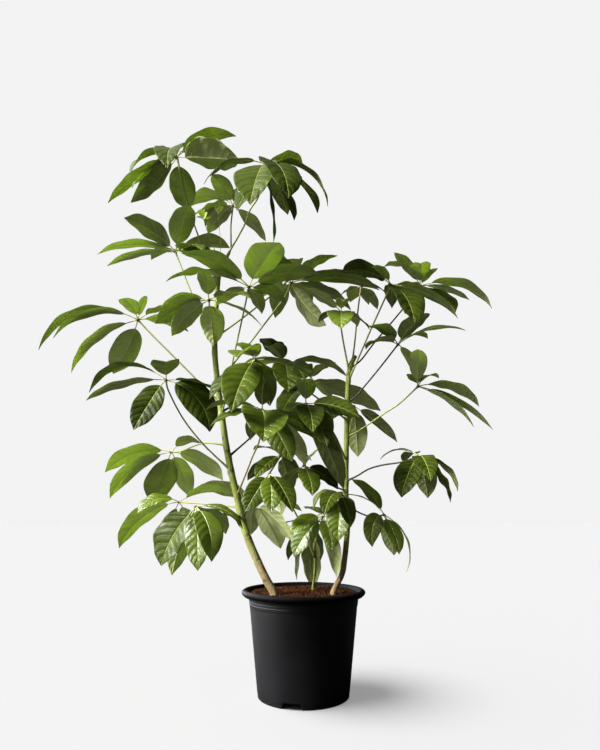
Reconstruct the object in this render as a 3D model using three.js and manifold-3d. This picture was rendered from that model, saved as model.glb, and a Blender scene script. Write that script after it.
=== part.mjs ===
// Umbrella plant in a nursery pot, in millimetres, +Z up, +X to the right and +Y away from the viewer.
// The origin is the centre of the pot's underside, on the surface that the pot stands on.
//
// Two woody trunks and a young shoot stand in plain holes in the soil. Each compound leaf is one solid:
// a leaf stalk that springs from its trunk, a hub at the stalk's end, and a ring of stalked leaflets.
import * as THREE from "three";
import { mergeVertices } from "three/addons/utils/BufferGeometryUtils.js";
import Module from "manifold-3d";

const wasm = await Module();
wasm.setup();

// ---- Driving dimensions -----------------------------------------------------------------------

const GAP = 0.3; // between neighbouring solids

// Pot: a tapered, rolled-lip nursery pot, 27 cm across the lip
const POT_HEIGHT = 234;
const ROUND_CORNER = 1.5;
const LIP_RADIUS = 135.6;
const LIP_DEPTH = 16;
const COLLAR_DEPTH = 21; // the band under the lip
const COLLAR_STEP = 0.8;
const NECK_RADIUS = 119.7;
const FOOT_RADIUS = 101;
const WALL = 2.6;
const FOOT_WIDTH = 8; // flat ring that the wall stands on
const FLOOR_LIFT = 13; // underside of the raised floor
const BOSS_RADIUS = 34; // flat disc at the middle of the underside
const NOTCH_COUNT = 3;
const NOTCH_WIDTH = 42;
const NOTCH_HEIGHT = 11.5;
const NOTCH_AZIMUTH = -104 * (Math.PI / 180); // the notch that faces the viewer, a little to the left
const POT_SIDES = 30;

// Soil
const SOIL_TOP = 226;
const SOIL_RELIEF = 2.4;
const SOIL_SIDES = 24;
const SOIL_RINGS = 3;
const STEM_HOLE_DEPTH = 34;
const HOLE_SLACK = 0.7;

// Leaves
const STALK_RADIUS = 1.75; // leaf stalk at its middle
const STALK_BASE_RADIUS = 3.4; // where it clasps the trunk
const STALK_SIDES = 4;
const FULL_SIZE_LENGTH = 80; // a leaf with shorter leaflets is a sprout, with a thinner stalk
const HUB_RADIUS = 4.4;
const LEAFLET_STALK_RADIUS = 1.15;
const LEAFLET_STALK_SHARE = 0.15; // of a leaflet's whole length
const BLADE_SLENDERNESS = 0.46; // width over length
const LONGEST_FULL = 140; // a leaflet longer than this gets no wider
const BLADE_THICKNESS = 1.9; // at the midrib
const BLADE_FOLD = 0.16; // how far the edges rise above the midrib, over half the width
const ARCH = 0.13; // how far a leaflet's guide points stand off its chord, over its length
const STRAIGHTENED = 0.8; // the share of that arch which a leaflet loses where it hangs straight down
const RISE_SHARE = 0.28; // where they stand, from either end
const OUTWARD_SHARE = 0.08; // how much a hanging leaflet still faces away from its trunk
const SWAY = 9; // degrees that a leaflet may turn about its midrib by chance

// What a leaflet keeps clear of, measured between points laid over the blades
const CLEARANCE = 12.5; // between leaflets of different leaves
const SIBLING_CLEARANCE = 9;
const STALK_CLEARANCE = 9; // from a leaf stalk, or from a stem's bark

// ---- Where the pieces show in the photograph ---------------------------------------------------
// A place is given by its column and row in the 600 x 750 frame, and by its depth along +Y in mm.
// The pot's lip, 135.6 mm in radius, gives the distance and the height of the eye.

const FOCAL_LENGTH = 540; // pixels
const AXIS_COLUMN = 303.5; // the pot's axis
const HORIZON_ROW = 519;
const EYE_DISTANCE = 1190;
const EYE_HEIGHT = 387;

const UP = new THREE.Vector3(0, 0, 1);

function seenAt(column, row, depth) {
  const scale = (EYE_DISTANCE + depth) / FOCAL_LENGTH;
  const x = (column - AXIS_COLUMN) * scale;
  return new THREE.Vector3(x, depth, EYE_HEIGHT - (row - HORIZON_ROW) * scale);
}

// ---- The plant's pieces, read from the photograph ------------------------------------------------

// Each stem's centre line from the soil up: [column, row], with its depth at the foot and at the top
// and its radius at the foot and at the top.
const STEMS = {
  left_trunk: {
    line: [[274, 595], [266.5, 580], [257, 560], [248.6, 540], [242, 520], [237.8, 500], [228.8, 460],
      [222.5, 420], [216.2, 370], [214.7, 340], [216.3, 305], [219.5, 263]],
    depth: [-46, -20], radius: [9, 5], sides: 10, color: 0x8d8a4e,
  },
  right_trunk: {
    line: [[333, 594.5], [342, 574], [344.4, 560], [346.6, 540], [347.6, 520], [346, 500], [346.5, 440],
      [347.3, 400], [349.5, 370], [355, 356]],
    depth: [-39, -30], radius: [6.2, 5], sides: 8, color: 0x86884a,
  },
  young_shoot: {
    line: [[313, 590], [314.6, 574], [315, 560], [314, 543]],
    depth: [34, 20], radius: [3.1, 2.6], sides: 7, color: 0x6d7a3a,
  },
};

// Each compound leaf: the stem that it grows on, the row where it leaves the stem, the points that its
// stalk passes, its hub, the hub's depth, and the usual length of its leaflets in mm. A leaflet is
// [tip column, tip row, lean, tilt, fullness, arch]. Lean is -1 for one that points straight at the
// viewer, 0 across the view and 1 straight away; tilt is in degrees, positive where the glossy side
// turns to the viewer; fullness scales its width and arch its bow. The last three may be left out.
const LEAVES = [
  { name: "left_leaf_01", stem: "left_trunk", node: 283, stalk: [[207, 260], [199, 238], [188, 205]],
    hub: [177, 157], depth: -25, length: 150, leaflets: [
      [236.5, 136.3, 0.35, -14, 0.8, 1.7], [215, 152, 1], [240, 161, -0.8, -25, 1.35, 0.1],
      [167, 168, -1, 0, 1.1, 1.8], [129, 173, -0.8, 10, 1, 1.8], [107.5, 203, 0, 8, 0.9, 0.6],
      [131, 187, -0.5, 20, 0.9], [130, 202, 0.9, 0, 1.35, -0.8], [186.5, 209, 1, 0, 1.3, -1.4]] },
  { name: "left_leaf_02", stem: "left_trunk", node: 269, stalk: [[243, 228], [250, 210], [259, 195]],
    hub: [265, 164], depth: -120, length: 148, leaflets: [
      [203, 184, -0.3, 20, 1, 2], [250, 204, -1, 0, 1.5, 1.3], [289, 198, -1, 0, 1.35, 1.5],
      [318, 213, -0.3, 20, 1.3, 2.2], [328.5, 206.5, 0.4, 10, 0.8, 3], [295, 220, -0.6, 0, 0.9],
      [303, 165, 0.8, 0, 0.7], [288, 215, 1, 0, 1], [275, 243, 0.8, 0, 0.8], [237, 211, -0.8, 0, 0.9]] },
  { name: "left_leaf_03", stem: "left_trunk", node: 275, stalk: [[230, 252], [231, 240], [231, 225]],
    hub: [233, 206], depth: 150, length: 138, leaflets: [
      [187, 208, 0.6, 0, 1.3, 2], [193, 216, -0.7, 0, 0.9], [205, 226, 1, 0], [212, 173, -0.9, 0, 1.2],
      [266.5, 241, 0.7, 0, 1.1], [207.5, 234, 1, 0, 0.9], [242, 188, -0.6, 0, 0.8]] },
  { name: "left_leaf_04", stem: "left_trunk", node: 352, stalk: [[207, 330], [195, 302], [183, 272]],
    hub: [175.5, 252], depth: 0, length: 148, leaflets: [
      [97, 254, 0, 0, 0.85, 1.2], [107, 266, 0.5, 5, 0.6, 0.6], [151, 260, 1, 0, 0.7],
      [124, 217, -0.7, -25, 1.1], [190, 205, -1, 0, 1.1], [210, 268, -0.7, 45, 1.2],
      [203, 251, -0.6, 15, 1], [230, 247, 0.5, -5]] },
  { name: "left_leaf_05", stem: "left_trunk", node: 415, stalk: [[226, 395], [233, 360], [243, 315]],
    hub: [249, 287], depth: -95, length: 152, leaflets: [
      [165, 280, 0, 8, 1.1, 1.2], [181, 252, -0.3, -12, 1], [280, 242, -1, 0, 1.4],
      [320, 273, 0.3, -12, 1], [285, 303, 0.8, 0, 0.9], [262, 314, 0.8], [216, 306, 0.7]] },
  { name: "left_leaf_06", stem: "left_trunk", node: 383, stalk: [[246, 348], [263, 326], [284, 298]],
    hub: [291, 283], depth: 5, length: 150, leaflets: [
      [380, 290, 0, -8, 0.8], [262, 253, -0.9, 0, 1.1], [338, 255, -0.7, -8, 0.75], [309, 310, 1],
      [352, 310, 0.7], [271, 308, 0.9], [326.7, 325, -0.3, -35, 1.3, -1]] },
  { name: "left_leaf_07", stem: "left_trunk", node: 338, stalk: [[240, 320], [262, 303], [277, 291]],
    hub: [287, 281], depth: 160, length: 140, leaflets: [
      [313, 313, 0.8], [332, 291, -0.5, 15], [252, 300, 0.7], [270, 262, -0.6], [300, 258, -0.8],
      [275, 318, 0.8]] },
  { name: "left_leaf_08", stem: "left_trunk", node: 347, stalk: [[211, 330], [210, 315]],
    hub: [209, 300], depth: -170, length: 112, leaflets: [
      [160, 308, 0, -10, 0.9], [155, 324, 0.2, -35], [171, 336, -0.1, -45], [213.5, 346, 0.9, 0, 1.35],
      [202, 270, -0.9, 0, 1], [262, 325, -0.2, 10, 1], [250, 298, -0.7, 20, 1]] },
  { name: "left_leaf_09", stem: "left_trunk", node: 402,
    stalk: [[209, 392], [188, 371], [169, 352], [150, 333]], hub: [138, 320], depth: -55, length: 150, leaflets: [
      [37, 350, 0, -2, 0.75, 2.4], [52, 338, 0.4, 5, 0.7, 2.2], [71, 373, 0.3, -6, 0.8, 1.6],
      [113, 373.5, 0.8, 0, 1.2, -1], [122, 299, -0.9, 0, 0.7], [146, 295, -0.9, 0, 0.5],
      [195, 322, -0.4, 20, 1, 1.8], [189, 331, 0.6, 0, 0.9]] },
  { name: "left_leaf_10", stem: "left_trunk", node: 412, stalk: [[240, 401], [258, 386], [274, 373]],
    hub: [285, 363], depth: 25, length: 140, leaflets: [
      [261, 337, -0.8, 0, 1.2], [267, 346, -0.8, 0, 1], [304, 380, -0.9, 0, 1.3],
      [347.5, 377, 0.1, -6, 0.9, 1.2], [262, 394, 0.8], [238, 373, 0.4], [288, 392, -0.8, 0, 1.3]] },
  { name: "left_leaf_11", stem: "left_trunk", node: 471, stalk: [[205, 446], [184, 420], [169, 392]],
    hub: [166, 380], depth: -115, length: 140, leaflets: [
      [133.5, 430, -0.6, 60, 1.1], [210, 432, -0.4, 52, 1.2, 3], [167, 362, -0.85, 0, 1.15],
      [229, 399, 0.2, 10, 0.8], [88, 392.5, 0, 0, 0.8, 2.6], [85, 399.5, 0.3, 0, 0.65, 0.8]] },
  { name: "left_leaf_12", stem: "left_trunk", node: 457, stalk: [[249, 439], [268, 421], [290, 399]],
    hub: [308, 381], depth: 110, length: 150, leaflets: [
      [381, 411, 0, -20, 1.1, 0.5], [331, 398, 0.9], [280, 417, -0.5, 20, 1.1], [352, 393, 0.7],
      [336, 362, -0.7]] },
  { name: "left_leaf_13", stem: "left_trunk", node: 496, stalk: [[245, 476], [252, 458], [260, 438]],
    hub: [262, 410], depth: -200, length: 135, leaflets: [
      [263.5, 441.5, -1, 0, 1.5], [209.5, 425, -0.3, 25, 0.75], [205, 409, 0.4, -6, 0.9],
      [341, 453, 0, 42, 0.9], [292, 462, -0.3, 60, 1.1], [306, 466, 0.5, -20, 1],
      [250, 440, 0.8, 0, 0.8], [266, 378, -0.5]] },
  { name: "left_leaf_14", stem: "left_trunk", node: 445, stalk: [[206, 443], [194, 446], [182, 451]],
    hub: [171.5, 452], depth: 115, length: 150, leaflets: [
      [104.5, 472, 0, -28, 1.15, 1.5], [109.5, 498.5, 0.3, -30, 1.05, 1.7], [155, 505, 0.9, 0, 1.6],
      [189, 497, 1, 0, 1], [223.5, 480.5, 0.6, -35, 1.15, 1.3], [208, 450, -0.5, -25, 0.8, 2.2]] },
  { name: "left_leaf_15", stem: "left_trunk", node: 507, stalk: [[225, 506], [200, 503.5]],
    hub: [179, 502], depth: 80, length: 150, leaflets: [
      [137, 513.5, -0.5, 38, 1.1, 2.2], [119, 548.5, 0.2, -32, 1.2, 2], [233, 496, 0.8, -30, 1.2, 1.2],
      [200, 545, 0.8], [156, 548, 0.8, 0, 0.7, 0]] },
  { name: "left_leaf_16", stem: "left_trunk", node: 517, stalk: [[228, 515], [212, 511]],
    hub: [196, 507], depth: -215, length: 125, leaflets: [
      [161, 566, -0.4, 55, 1.4, 1.5], [171.5, 575, 0.2, -65, 0.8, 1.2], [197.5, 571, -0.6, 0, 0.95, 1.5],
      [211.5, 562, -0.7, 0, 1.1, 4.5], [243.5, 529, -0.2, 15, 0.8, 2], [226, 534, 0.9, 0, 1]] },
  { name: "left_leaf_17", stem: "left_trunk", node: 520, stalk: [[250, 503], [258, 488], [269, 474]],
    hub: [281, 455], depth: -80, length: 118, leaflets: [
      [278, 434, -0.9, 0, 1], [255, 478, -0.6, 40, 1], [253, 449, 0.7, 0, 0.8], [298, 478, 0.6],
      [312, 460, 0.3], [291, 492, 0.9], [247, 480, 0.5, -30, 0.9]] },
  { name: "left_leaf_18", stem: "left_trunk", node: 513, stalk: [[247, 508]],
    hub: [254, 503], depth: 175, length: 142, leaflets: [
      [197, 489, 0.1, -38, 1.1], [241, 529, 0.8], [251.5, 534.5, 1], [281, 548.5, 0.6, -45, 1.35],
      [294, 543, 0.6, -40, 1.1], [302, 511, 0.5, -25, 1]] },
  { name: "right_leaf_01", stem: "right_trunk", node: 363, stalk: [[355, 340], [358, 310]],
    hub: [361, 287], depth: 55, length: 112, leaflets: [
      [350, 302, 1], [369, 304, 0.9], [378, 309, 0.9], [386, 292, -0.6], [337, 298, -0.5, 10],
      [325, 272, 0.2, -8, 0.9], [362, 265, -0.8]] },
  { name: "right_leaf_02", stem: "right_trunk", node: 373, stalk: [[343, 340], [341, 325]],
    hub: [341, 312], depth: -80, length: 100, leaflets: [
      [302, 288, -0.4, -10, 0.9], [341, 329, -1, 0, 1.2, 1.3], [370.5, 329, -0.4], [358, 326, 0.8],
      [344, 300, -0.9, 0, 0.8], [318, 322, 0.7]] },
  { name: "right_leaf_03", stem: "right_trunk", node: 380, stalk: [[359, 357], [372, 327], [382, 305]],
    hub: [391, 285], depth: -95, length: 148, leaflets: [
      [342, 273, -0.5, 74, 1.3, 1.4], [392, 308, 0.9, 0, 0.65], [414.5, 323, -0.9, 0, 1.3, 1.4],
      [459, 318, 0, 5, 0.85, 1.2], [371, 266, -0.6, 0, 0.5], [424, 300, 0.7]] },
  { name: "right_leaf_04", stem: "right_trunk", node: 368, stalk: [[361, 360], [375, 342], [402, 310]],
    hub: [420, 286], depth: 45, length: 148, leaflets: [
      [384, 266, 0.6, -20, 0.8, 2.2], [394, 252, -0.7, 0, 0.7], [421, 263, -0.9, 0, 0.9],
      [493, 308, 0, 2, 0.9, 1.8], [470, 300, 0.5, 0, 0.5], [456, 312, -0.7, 15, 1.1],
      [405, 314, 0.9], [438, 268, -0.4, -10, 0.8]] },
  { name: "right_leaf_05", stem: "right_trunk", node: 402, stalk: [[356, 396], [378, 370]],
    hub: [398, 344.5], depth: -55, length: 148, leaflets: [
      [369, 327, -0.8, -10, 0.65], [365, 348, -0.6, 0, 0.9], [429, 312, -0.8, 10, 1.2],
      [466, 330, 0, 4, 0.85, 1.2], [428, 338, 0.8, 0, 0.6], [418, 379, 0.9, 0, 0.45]] },
  { name: "right_leaf_06", stem: "right_trunk", node: 437, stalk: [[360, 430], [385, 413], [400, 403]],
    hub: [418, 386.5], depth: -60, length: 148, leaflets: [
      [417.5, 348.5, -0.9, 0, 0.75], [411, 374, 1, 0, 0.9], [439, 378, 0.9, 0, 0.5],
      [480, 406, 0.2, -4, 0.8, 1.6], [493, 430, 0, -4, 0.7], [474, 427, 0.4, 0, 0.85]] },
  { name: "right_leaf_07", stem: "right_trunk", node: 420, stalk: [[336, 412], [309, 392], [280, 374]],
    hub: [255, 360], depth: -200, length: 135, leaflets: [
      [237, 357, -1, 0, 1], [236, 343, -0.6, 0, 0.8], [314, 380, -0.2, 12, 0.9],
      [209, 399, -0.4, 32, 1.1], [231, 412, -0.5, 45, 1.2], [270, 406, 0.7, -40, 1.1], [258, 342, -0.6]] },
  { name: "right_leaf_08", stem: "right_trunk", node: 443, stalk: [[351, 426]],
    hub: [354, 406], depth: 200, length: 145, leaflets: [
      [398, 442, 0.4, -20, 1, 0.4], [358, 457, 0.7, 0, 1.1], [329, 421, 0.7], [324, 402, 0.3]] },
  { name: "right_leaf_09", stem: "right_trunk", node: 461, stalk: [[333, 432], [315, 414]],
    hub: [306, 404], depth: -190, length: 128, leaflets: [
      [327, 446, -0.6, 55, 1.2], [313, 432, -0.9], [288, 417, 0.8, 0, 0.8], [360, 418, -0.3, 45, 1.1],
      [303, 378, -0.7], [290, 440, 0.5], [344, 489, 0.3, -30, 0.85]] },
  { name: "right_leaf_10", stem: "right_trunk", node: 481,
    stalk: [[357, 476], [369, 469], [383, 465], [402, 462]], hub: [418, 456], depth: -115, length: 128, leaflets: [
      [380, 459.5, 0.5, 8, 0.7, 2], [401.5, 497.5, -0.6, 30, 1.25, 1.3], [431, 481, -1, 0, 0.9, 1.3],
      [428, 498, 0.8, 0, 1.1], [452, 502.5, -0.4, 15, 1.25, 1.8], [459, 491.5, 0.3, 5, 0.7, 2.4],
      [403, 462, 0.9, 0, 0.8]] },
  { name: "right_leaf_11", stem: "right_trunk", node: 491, stalk: [[334, 486], [320, 476.5]],
    hub: [304, 466], depth: -130, length: 128, leaflets: [
      [289, 436, -0.35, 0, 1.35], [313, 495, -0.8, 0, 1.2], [339, 489, -0.3, 55, 1.15],
      [322, 447, -0.7], [284, 489, 0.6]] },
  { name: "right_leaf_12", stem: "right_trunk", node: 498, stalk: [[344, 496.5]],
    hub: [341, 495], depth: -225, length: 105, leaflets: [
      [313, 510, -0.3, 10, 1, 4], [324, 516, -0.8, 0, 0.9, 2], [338, 541, -0.5, 10, 1.3, 1.3],
      [351, 527, -0.6, 10, 1, 1.4], [381, 511, 0, 0, 0.6, 1.6], [352, 514, 0.8]] },
  { name: "right_leaf_13", stem: "right_trunk", node: 505, stalk: [[360, 513], [373, 517]],
    hub: [384, 515], depth: -110, length: 122, leaflets: [
      [372.5, 547.5, -0.3, 60, 1.3, 9], [394, 555.5, 0.8, 0, 1], [400, 554, -0.6, 0, 1, 1.2],
      [406.5, 572.5, 0, 0, 0.55, 6.5], [352, 478, 0.4, 15, 1.05]] },
  { name: "right_leaf_14", stem: "right_trunk", node: 512, stalk: [[326, 512]],
    hub: [306, 521], depth: 225, length: 150, leaflets: [
      [313, 590, 0.3, -20, 1.1], [296, 580.5, 0.5, 10, 0.75], [287.5, 560, 0.7, 0, 0.7],
      [321, 560, 0.6, 0, 0.8], [276, 528, 0.2], [334, 530, -0.4]] },
  { name: "shoot_leaf_01", stem: "young_shoot", node: 548, stalk: [[316.5, 538], [319, 528]],
    hub: [323, 517], depth: -55, length: 112, leaflets: [
      [294, 557, -0.4, 50, 1.15, 1.4], [290, 534, -0.5, 45, 1.1, 1.3], [306, 508, 0.9, 0, 0.9],
      [332, 551, -0.7, 0, 1.1, 1.3], [337, 577, 0.1, -50, 1.05, 1.2], [347, 520, 0.7]] },
  { name: "shoot_leaf_02", stem: "young_shoot", node: 557, stalk: [[296, 514], [283, 495]],
    hub: [269.5, 474], depth: -130, length: 112, leaflets: [
      [271, 512, -0.7, 0, 1.15, 1.3], [282, 515, 0.4, 0, 1], [293, 512, -0.5, 10, 1, 1.5],
      [245, 512, -0.4, 75, 1.2, 1.3]] },
  { name: "left_sprout_01", stem: "left_trunk", node: 264, stalk: [[220.5, 244], [219.5, 228]],
    hub: [219, 215], depth: -40, length: 24, leaflets: [
      [214, 207, -0.5], [218, 203.5, 0.3, 0, 0.8], [223, 206, 0.5]] },
  { name: "left_sprout_02", stem: "left_trunk", node: 265, stalk: [[213, 245], [207, 230]],
    hub: [204, 220], depth: -75, length: 30, leaflets: [
      [196, 217, 0.3], [200, 210, -0.5], [207, 211, 0.6], [211, 217, -0.3]] },
];

// ---- A repeatable draw ---------------------------------------------------------------------------

let drawState = 4021;

function draw(low, high) {
  drawState = (drawState * 16807) % 2147483647;
  return low + (high - low) * (drawState / 2147483647);
}

// ---- Curves --------------------------------------------------------------------------------------

// A point of a smooth curve through a list of points, at a place counted in spans.
function pointAlong(points, place) {
  const last = points.length - 1;
  const span = Math.min(Math.floor(place), last - 1);
  const t = place - span;
  const b = points[span];
  const c = points[span + 1];
  const a = span > 0 ? points[span - 1] : b.clone().multiplyScalar(2).sub(c);
  const d = span + 2 <= last ? points[span + 2] : c.clone().multiplyScalar(2).sub(b);
  const mix = (p, q, r, s) =>
    0.5 * (2 * q + (r - p) * t + (2 * p - 5 * q + 4 * r - s) * t * t + (3 * q - p - 3 * r + s) * t * t * t);
  return new THREE.Vector3(mix(a.x, b.x, c.x, d.x), mix(a.y, b.y, c.y, d.y), mix(a.z, b.z, c.z, d.z));
}

function pointsAlong(points, count) {
  const places = Array.from({ length: count + 1 }, (_, i) => (i / count) * (points.length - 1));
  return places.map((place) => pointAlong(points, place));
}

function bezier(points, t) {
  const s = 1 - t;
  const weights = [s * s * s, 3 * s * s * t, 3 * s * t * t, t * t * t];
  return points.reduce((sum, p, i) => sum.addScaledVector(p, weights[i]), new THREE.Vector3());
}

function bezierSlope(points, t) {
  const s = 1 - t;
  const weights = [s * s, 2 * s * t, t * t];
  const slope = new THREE.Vector3();
  weights.forEach((w, i) => slope.addScaledVector(points[i + 1], w).addScaledVector(points[i], -w));
  return slope.normalize();
}

// ---- Solids --------------------------------------------------------------------------------------

// The solid inside a closed skin, whichever way the skin's triangles turn.
function solidOf(geometry) {
  const bare = geometry.clone();
  bare.deleteAttribute("normal");
  bare.deleteAttribute("uv");
  const merged = mergeVertices(bare, 1e-4);
  const vertProperties = new Float32Array(merged.attributes.position.array);
  const corners = Array.from(merged.index.array);
  const triVerts = new Uint32Array(corners.filter((_, i) => {
    const [a, b, c] = corners.slice(i - (i % 3), i - (i % 3) + 3);
    return a !== b && b !== c && c !== a; // a skin that closes in a point has empty triangles there
  }));
  const solid = new wasm.Manifold(new wasm.Mesh({ numProp: 3, vertProperties, triVerts }));
  if (solid.volume() > 0) return solid;
  return new wasm.Manifold(new wasm.Mesh({ numProp: 3, vertProperties, triVerts: triVerts.reverse() }));
}

function geometryOf(solid) {
  const { numProp, vertProperties, triVerts } = solid.getMesh();
  const positions = new Float32Array((vertProperties.length / numProp) * 3);
  for (let i = 0; i < positions.length / 3; i += 1) {
    positions.set(vertProperties.subarray(i * numProp, i * numProp + 3), i * 3);
  }
  const geometry = new THREE.BufferGeometry();
  geometry.setAttribute("position", new THREE.BufferAttribute(positions, 3));
  geometry.setIndex(new THREE.BufferAttribute(new Uint32Array(triVerts), 1));
  geometry.computeVertexNormals();
  return geometry;
}

// A closed skin over a row of cross-sections with the same number of corners. Each quad is split from
// its corner with the even number, so that both faces of a thin blade are split alike.
function skinOver(sections) {
  const corners = sections[0].length;
  const positions = sections.flat().flatMap((p) => [p.x, p.y, p.z]);
  const index = [];
  for (let s = 0; s < sections.length - 1; s += 1) {
    for (let k = 0; k < corners; k += 1) {
      const a = s * corners + k;
      const b = s * corners + ((k + 1) % corners);
      if (k % 2 === 0) index.push(a, b, b + corners, a, b + corners, a + corners);
      else index.push(a, b, a + corners, b, b + corners, a + corners);
    }
  }
  const end = (sections.length - 1) * corners;
  for (let k = 1; k < corners - 1; k += 1) {
    index.push(0, k + 1, k, end, end + k, end + k + 1);
  }
  const geometry = new THREE.BufferGeometry();
  geometry.setAttribute("position", new THREE.Float32BufferAttribute(positions, 3));
  geometry.setIndex(index);
  return solidOf(geometry);
}

// A round bar along a list of points, with a radius at each point.
function bar(points, radii, sides) {
  let across = null;
  const sections = points.map((point, i) => {
    const ahead = points[Math.min(i + 1, points.length - 1)];
    const behind = points[Math.max(i - 1, 0)];
    const along = ahead.clone().sub(behind).normalize();
    const seed = across ?? (Math.abs(along.z) > 0.9 ? new THREE.Vector3(1, 0, 0) : UP.clone());
    across = seed.clone().addScaledVector(along, -seed.dot(along)).normalize();
    const other = along.clone().cross(across);
    return Array.from({ length: sides }, (_, k) => {
      const angle = (2 * Math.PI * k) / sides;
      return point.clone()
        .addScaledVector(across, radii[i] * Math.cos(angle))
        .addScaledVector(other, radii[i] * Math.sin(angle));
    });
  });
  return skinOver(sections);
}

// ---- Stems ---------------------------------------------------------------------------------------

function stemPoints(stem) {
  const { line, depth } = stem;
  const high = line[line.length - 1][1];
  return line.map(([column, row]) => {
    const rise = (line[0][1] - row) / (line[0][1] - high);
    return seenAt(column, row, depth[0] + (depth[1] - depth[0]) * rise);
  });
}

// The place on a stem's centre line that shows at a row of the photograph.
function stemAtRow(stem, row) {
  const { line } = stem;
  const points = stemPoints(stem);
  const above = Math.max(1, line.findIndex((p) => p[1] <= row));
  const share = (line[above - 1][1] - row) / (line[above - 1][1] - line[above][1]);
  return points[above - 1].clone().lerp(points[above], share);
}

function stemFoot(stem) {
  const foot = stemPoints(stem)[0];
  return new THREE.Vector3(foot.x, foot.y, SOIL_TOP - STEM_HOLE_DEPTH + GAP);
}

function stemSolid(stem, grow) {
  const points = stemPoints(stem);
  const [footRadius, topRadius] = stem.radius;
  const buried = stemFoot(stem).setZ(stemFoot(stem).z - grow);
  const collar = new THREE.Vector3(buried.x, buried.y, SOIL_TOP + SOIL_RELIEF);
  const above = points.filter((p) => p.z > collar.z + 4);
  const radii = above.map((_, i) => footRadius + ((topRadius - footRadius) * i) / (above.length - 1) + grow);
  return bar([buried, collar, ...above], [footRadius + grow, footRadius + grow, ...radii], stem.sides);
}

// ---- Compound leaves -----------------------------------------------------------------------------

function stalkPoints(leaf) {
  const start = stemAtRow(STEMS[leaf.stem], leaf.node);
  const turns = leaf.stalk.length + 1;
  const passed = leaf.stalk.map(([column, row], i) => {
    const depth = start.y + ((leaf.depth - start.y) * (i + 1)) / turns;
    return seenAt(column, row, depth);
  });
  return [start, ...passed, seenAt(...leaf.hub, leaf.depth)];
}

// The four guide points of a leaflet's midrib, its level sideways direction and its length.
function leafletSpine(leaf, leaflet, nudge) {
  const [column, row, lean, , , arch = 1] = leaflet;
  const hub = seenAt(...leaf.hub, leaf.depth);
  const flat = seenAt(column, row, leaf.depth).distanceTo(hub);
  const reach = Math.sqrt(Math.max(0, leaf.length * leaf.length - flat * flat));
  const tip = seenAt(column, row, leaf.depth + lean * reach + nudge);
  const chord = tip.clone().sub(hub);
  const length = chord.length();
  const start = stemAtRow(STEMS[leaf.stem], leaf.node);
  const outward = hub.clone().sub(start).setZ(0).normalize();
  const level = chord.clone().setZ(0).addScaledVector(outward, OUTWARD_SHARE * length).normalize();
  const along = chord.clone().normalize();
  const side = level.cross(UP);
  side.addScaledVector(along, -side.dot(along)).normalize();
  const crown = side.clone().cross(along);
  const bow = ARCH * arch * length * (1 - STRAIGHTENED * along.z * along.z);
  const rise = hub.clone().addScaledVector(chord, RISE_SHARE).addScaledVector(crown, bow);
  const fall = hub.clone().addScaledVector(chord, 1 - RISE_SHARE).addScaledVector(crown, bow);
  return { guide: [hub, rise, fall, tip], side, length };
}

// The blade's frame at a place along the midrib: the point, the way across it and its upper face.
function bladeFrame(spine, roll, t) {
  const along = bezierSlope(spine.guide, t);
  const level = spine.side.clone().addScaledVector(along, -spine.side.dot(along)).normalize();
  const top = level.clone().cross(along);
  const across = level.clone().multiplyScalar(Math.cos(roll)).addScaledVector(top, Math.sin(roll));
  const face = top.multiplyScalar(Math.cos(roll)).addScaledVector(level, -Math.sin(roll));
  return { point: bezier(spine.guide, t), across, face };
}

function leafletRoll(spine, leaflet, sway) {
  const tilt = leaflet[3] ?? 0;
  return (tilt * spine.side.y + sway) * (Math.PI / 180);
}

function bladeHalfWidth(leaflet, length) {
  const fullness = leaflet[4] ?? 1;
  const blade = Math.min(length, LONGEST_FULL) * (1 - LEAFLET_STALK_SHARE);
  return 0.5 * BLADE_SLENDERNESS * fullness * blade;
}

// Points laid over a blade: across, in shares of the half width, and along, in shares of the midrib.
const SAMPLES_ALONG = [0.25, 0.36, 0.47, 0.58, 0.69, 0.8, 0.9, 1];
const SAMPLES_ACROSS = [-0.9, -0.45, 0, 0.45, 0.9];
const SAMPLE_WIDTHS = [0.72, 0.93, 1, 0.98, 0.86, 0.64, 0.36, 0];

function bladeSamples(spine, leaflet, roll) {
  const half = bladeHalfWidth(leaflet, spine.length);
  return SAMPLES_ALONG.flatMap((t, i) => {
    const { point, across } = bladeFrame(spine, roll, t);
    const reach = half * SAMPLE_WIDTHS[i];
    return SAMPLES_ACROSS.map((share) => point.clone().addScaledVector(across, share * reach));
  });
}

function leastDistance(points, others) {
  let least = Infinity;
  for (const p of points) {
    for (const q of others) {
      const dx = p.x - q.x;
      const dy = p.y - q.y;
      const dz = p.z - q.z;
      least = Math.min(least, dx * dx + dy * dy + dz * dz);
    }
  }
  return Math.sqrt(least);
}

// Steps in depth, in mm, that bend a leaflet clear of what is already in place.
const NUDGES = [0, -12, 12, -24, 24, -36, 36, -50, 50, -65, 65, -80, 80, -95, 95];
const OUTER_SAMPLES = 2 * SAMPLES_ACROSS.length; // siblings meet near the hub, so those points are skipped
const STALK_STEPS = 40;
const STEM_STEPS = 90;
const HUB_STEPS = 6; // the end of a leaf's own stalk, which its leaflets grow from

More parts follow.
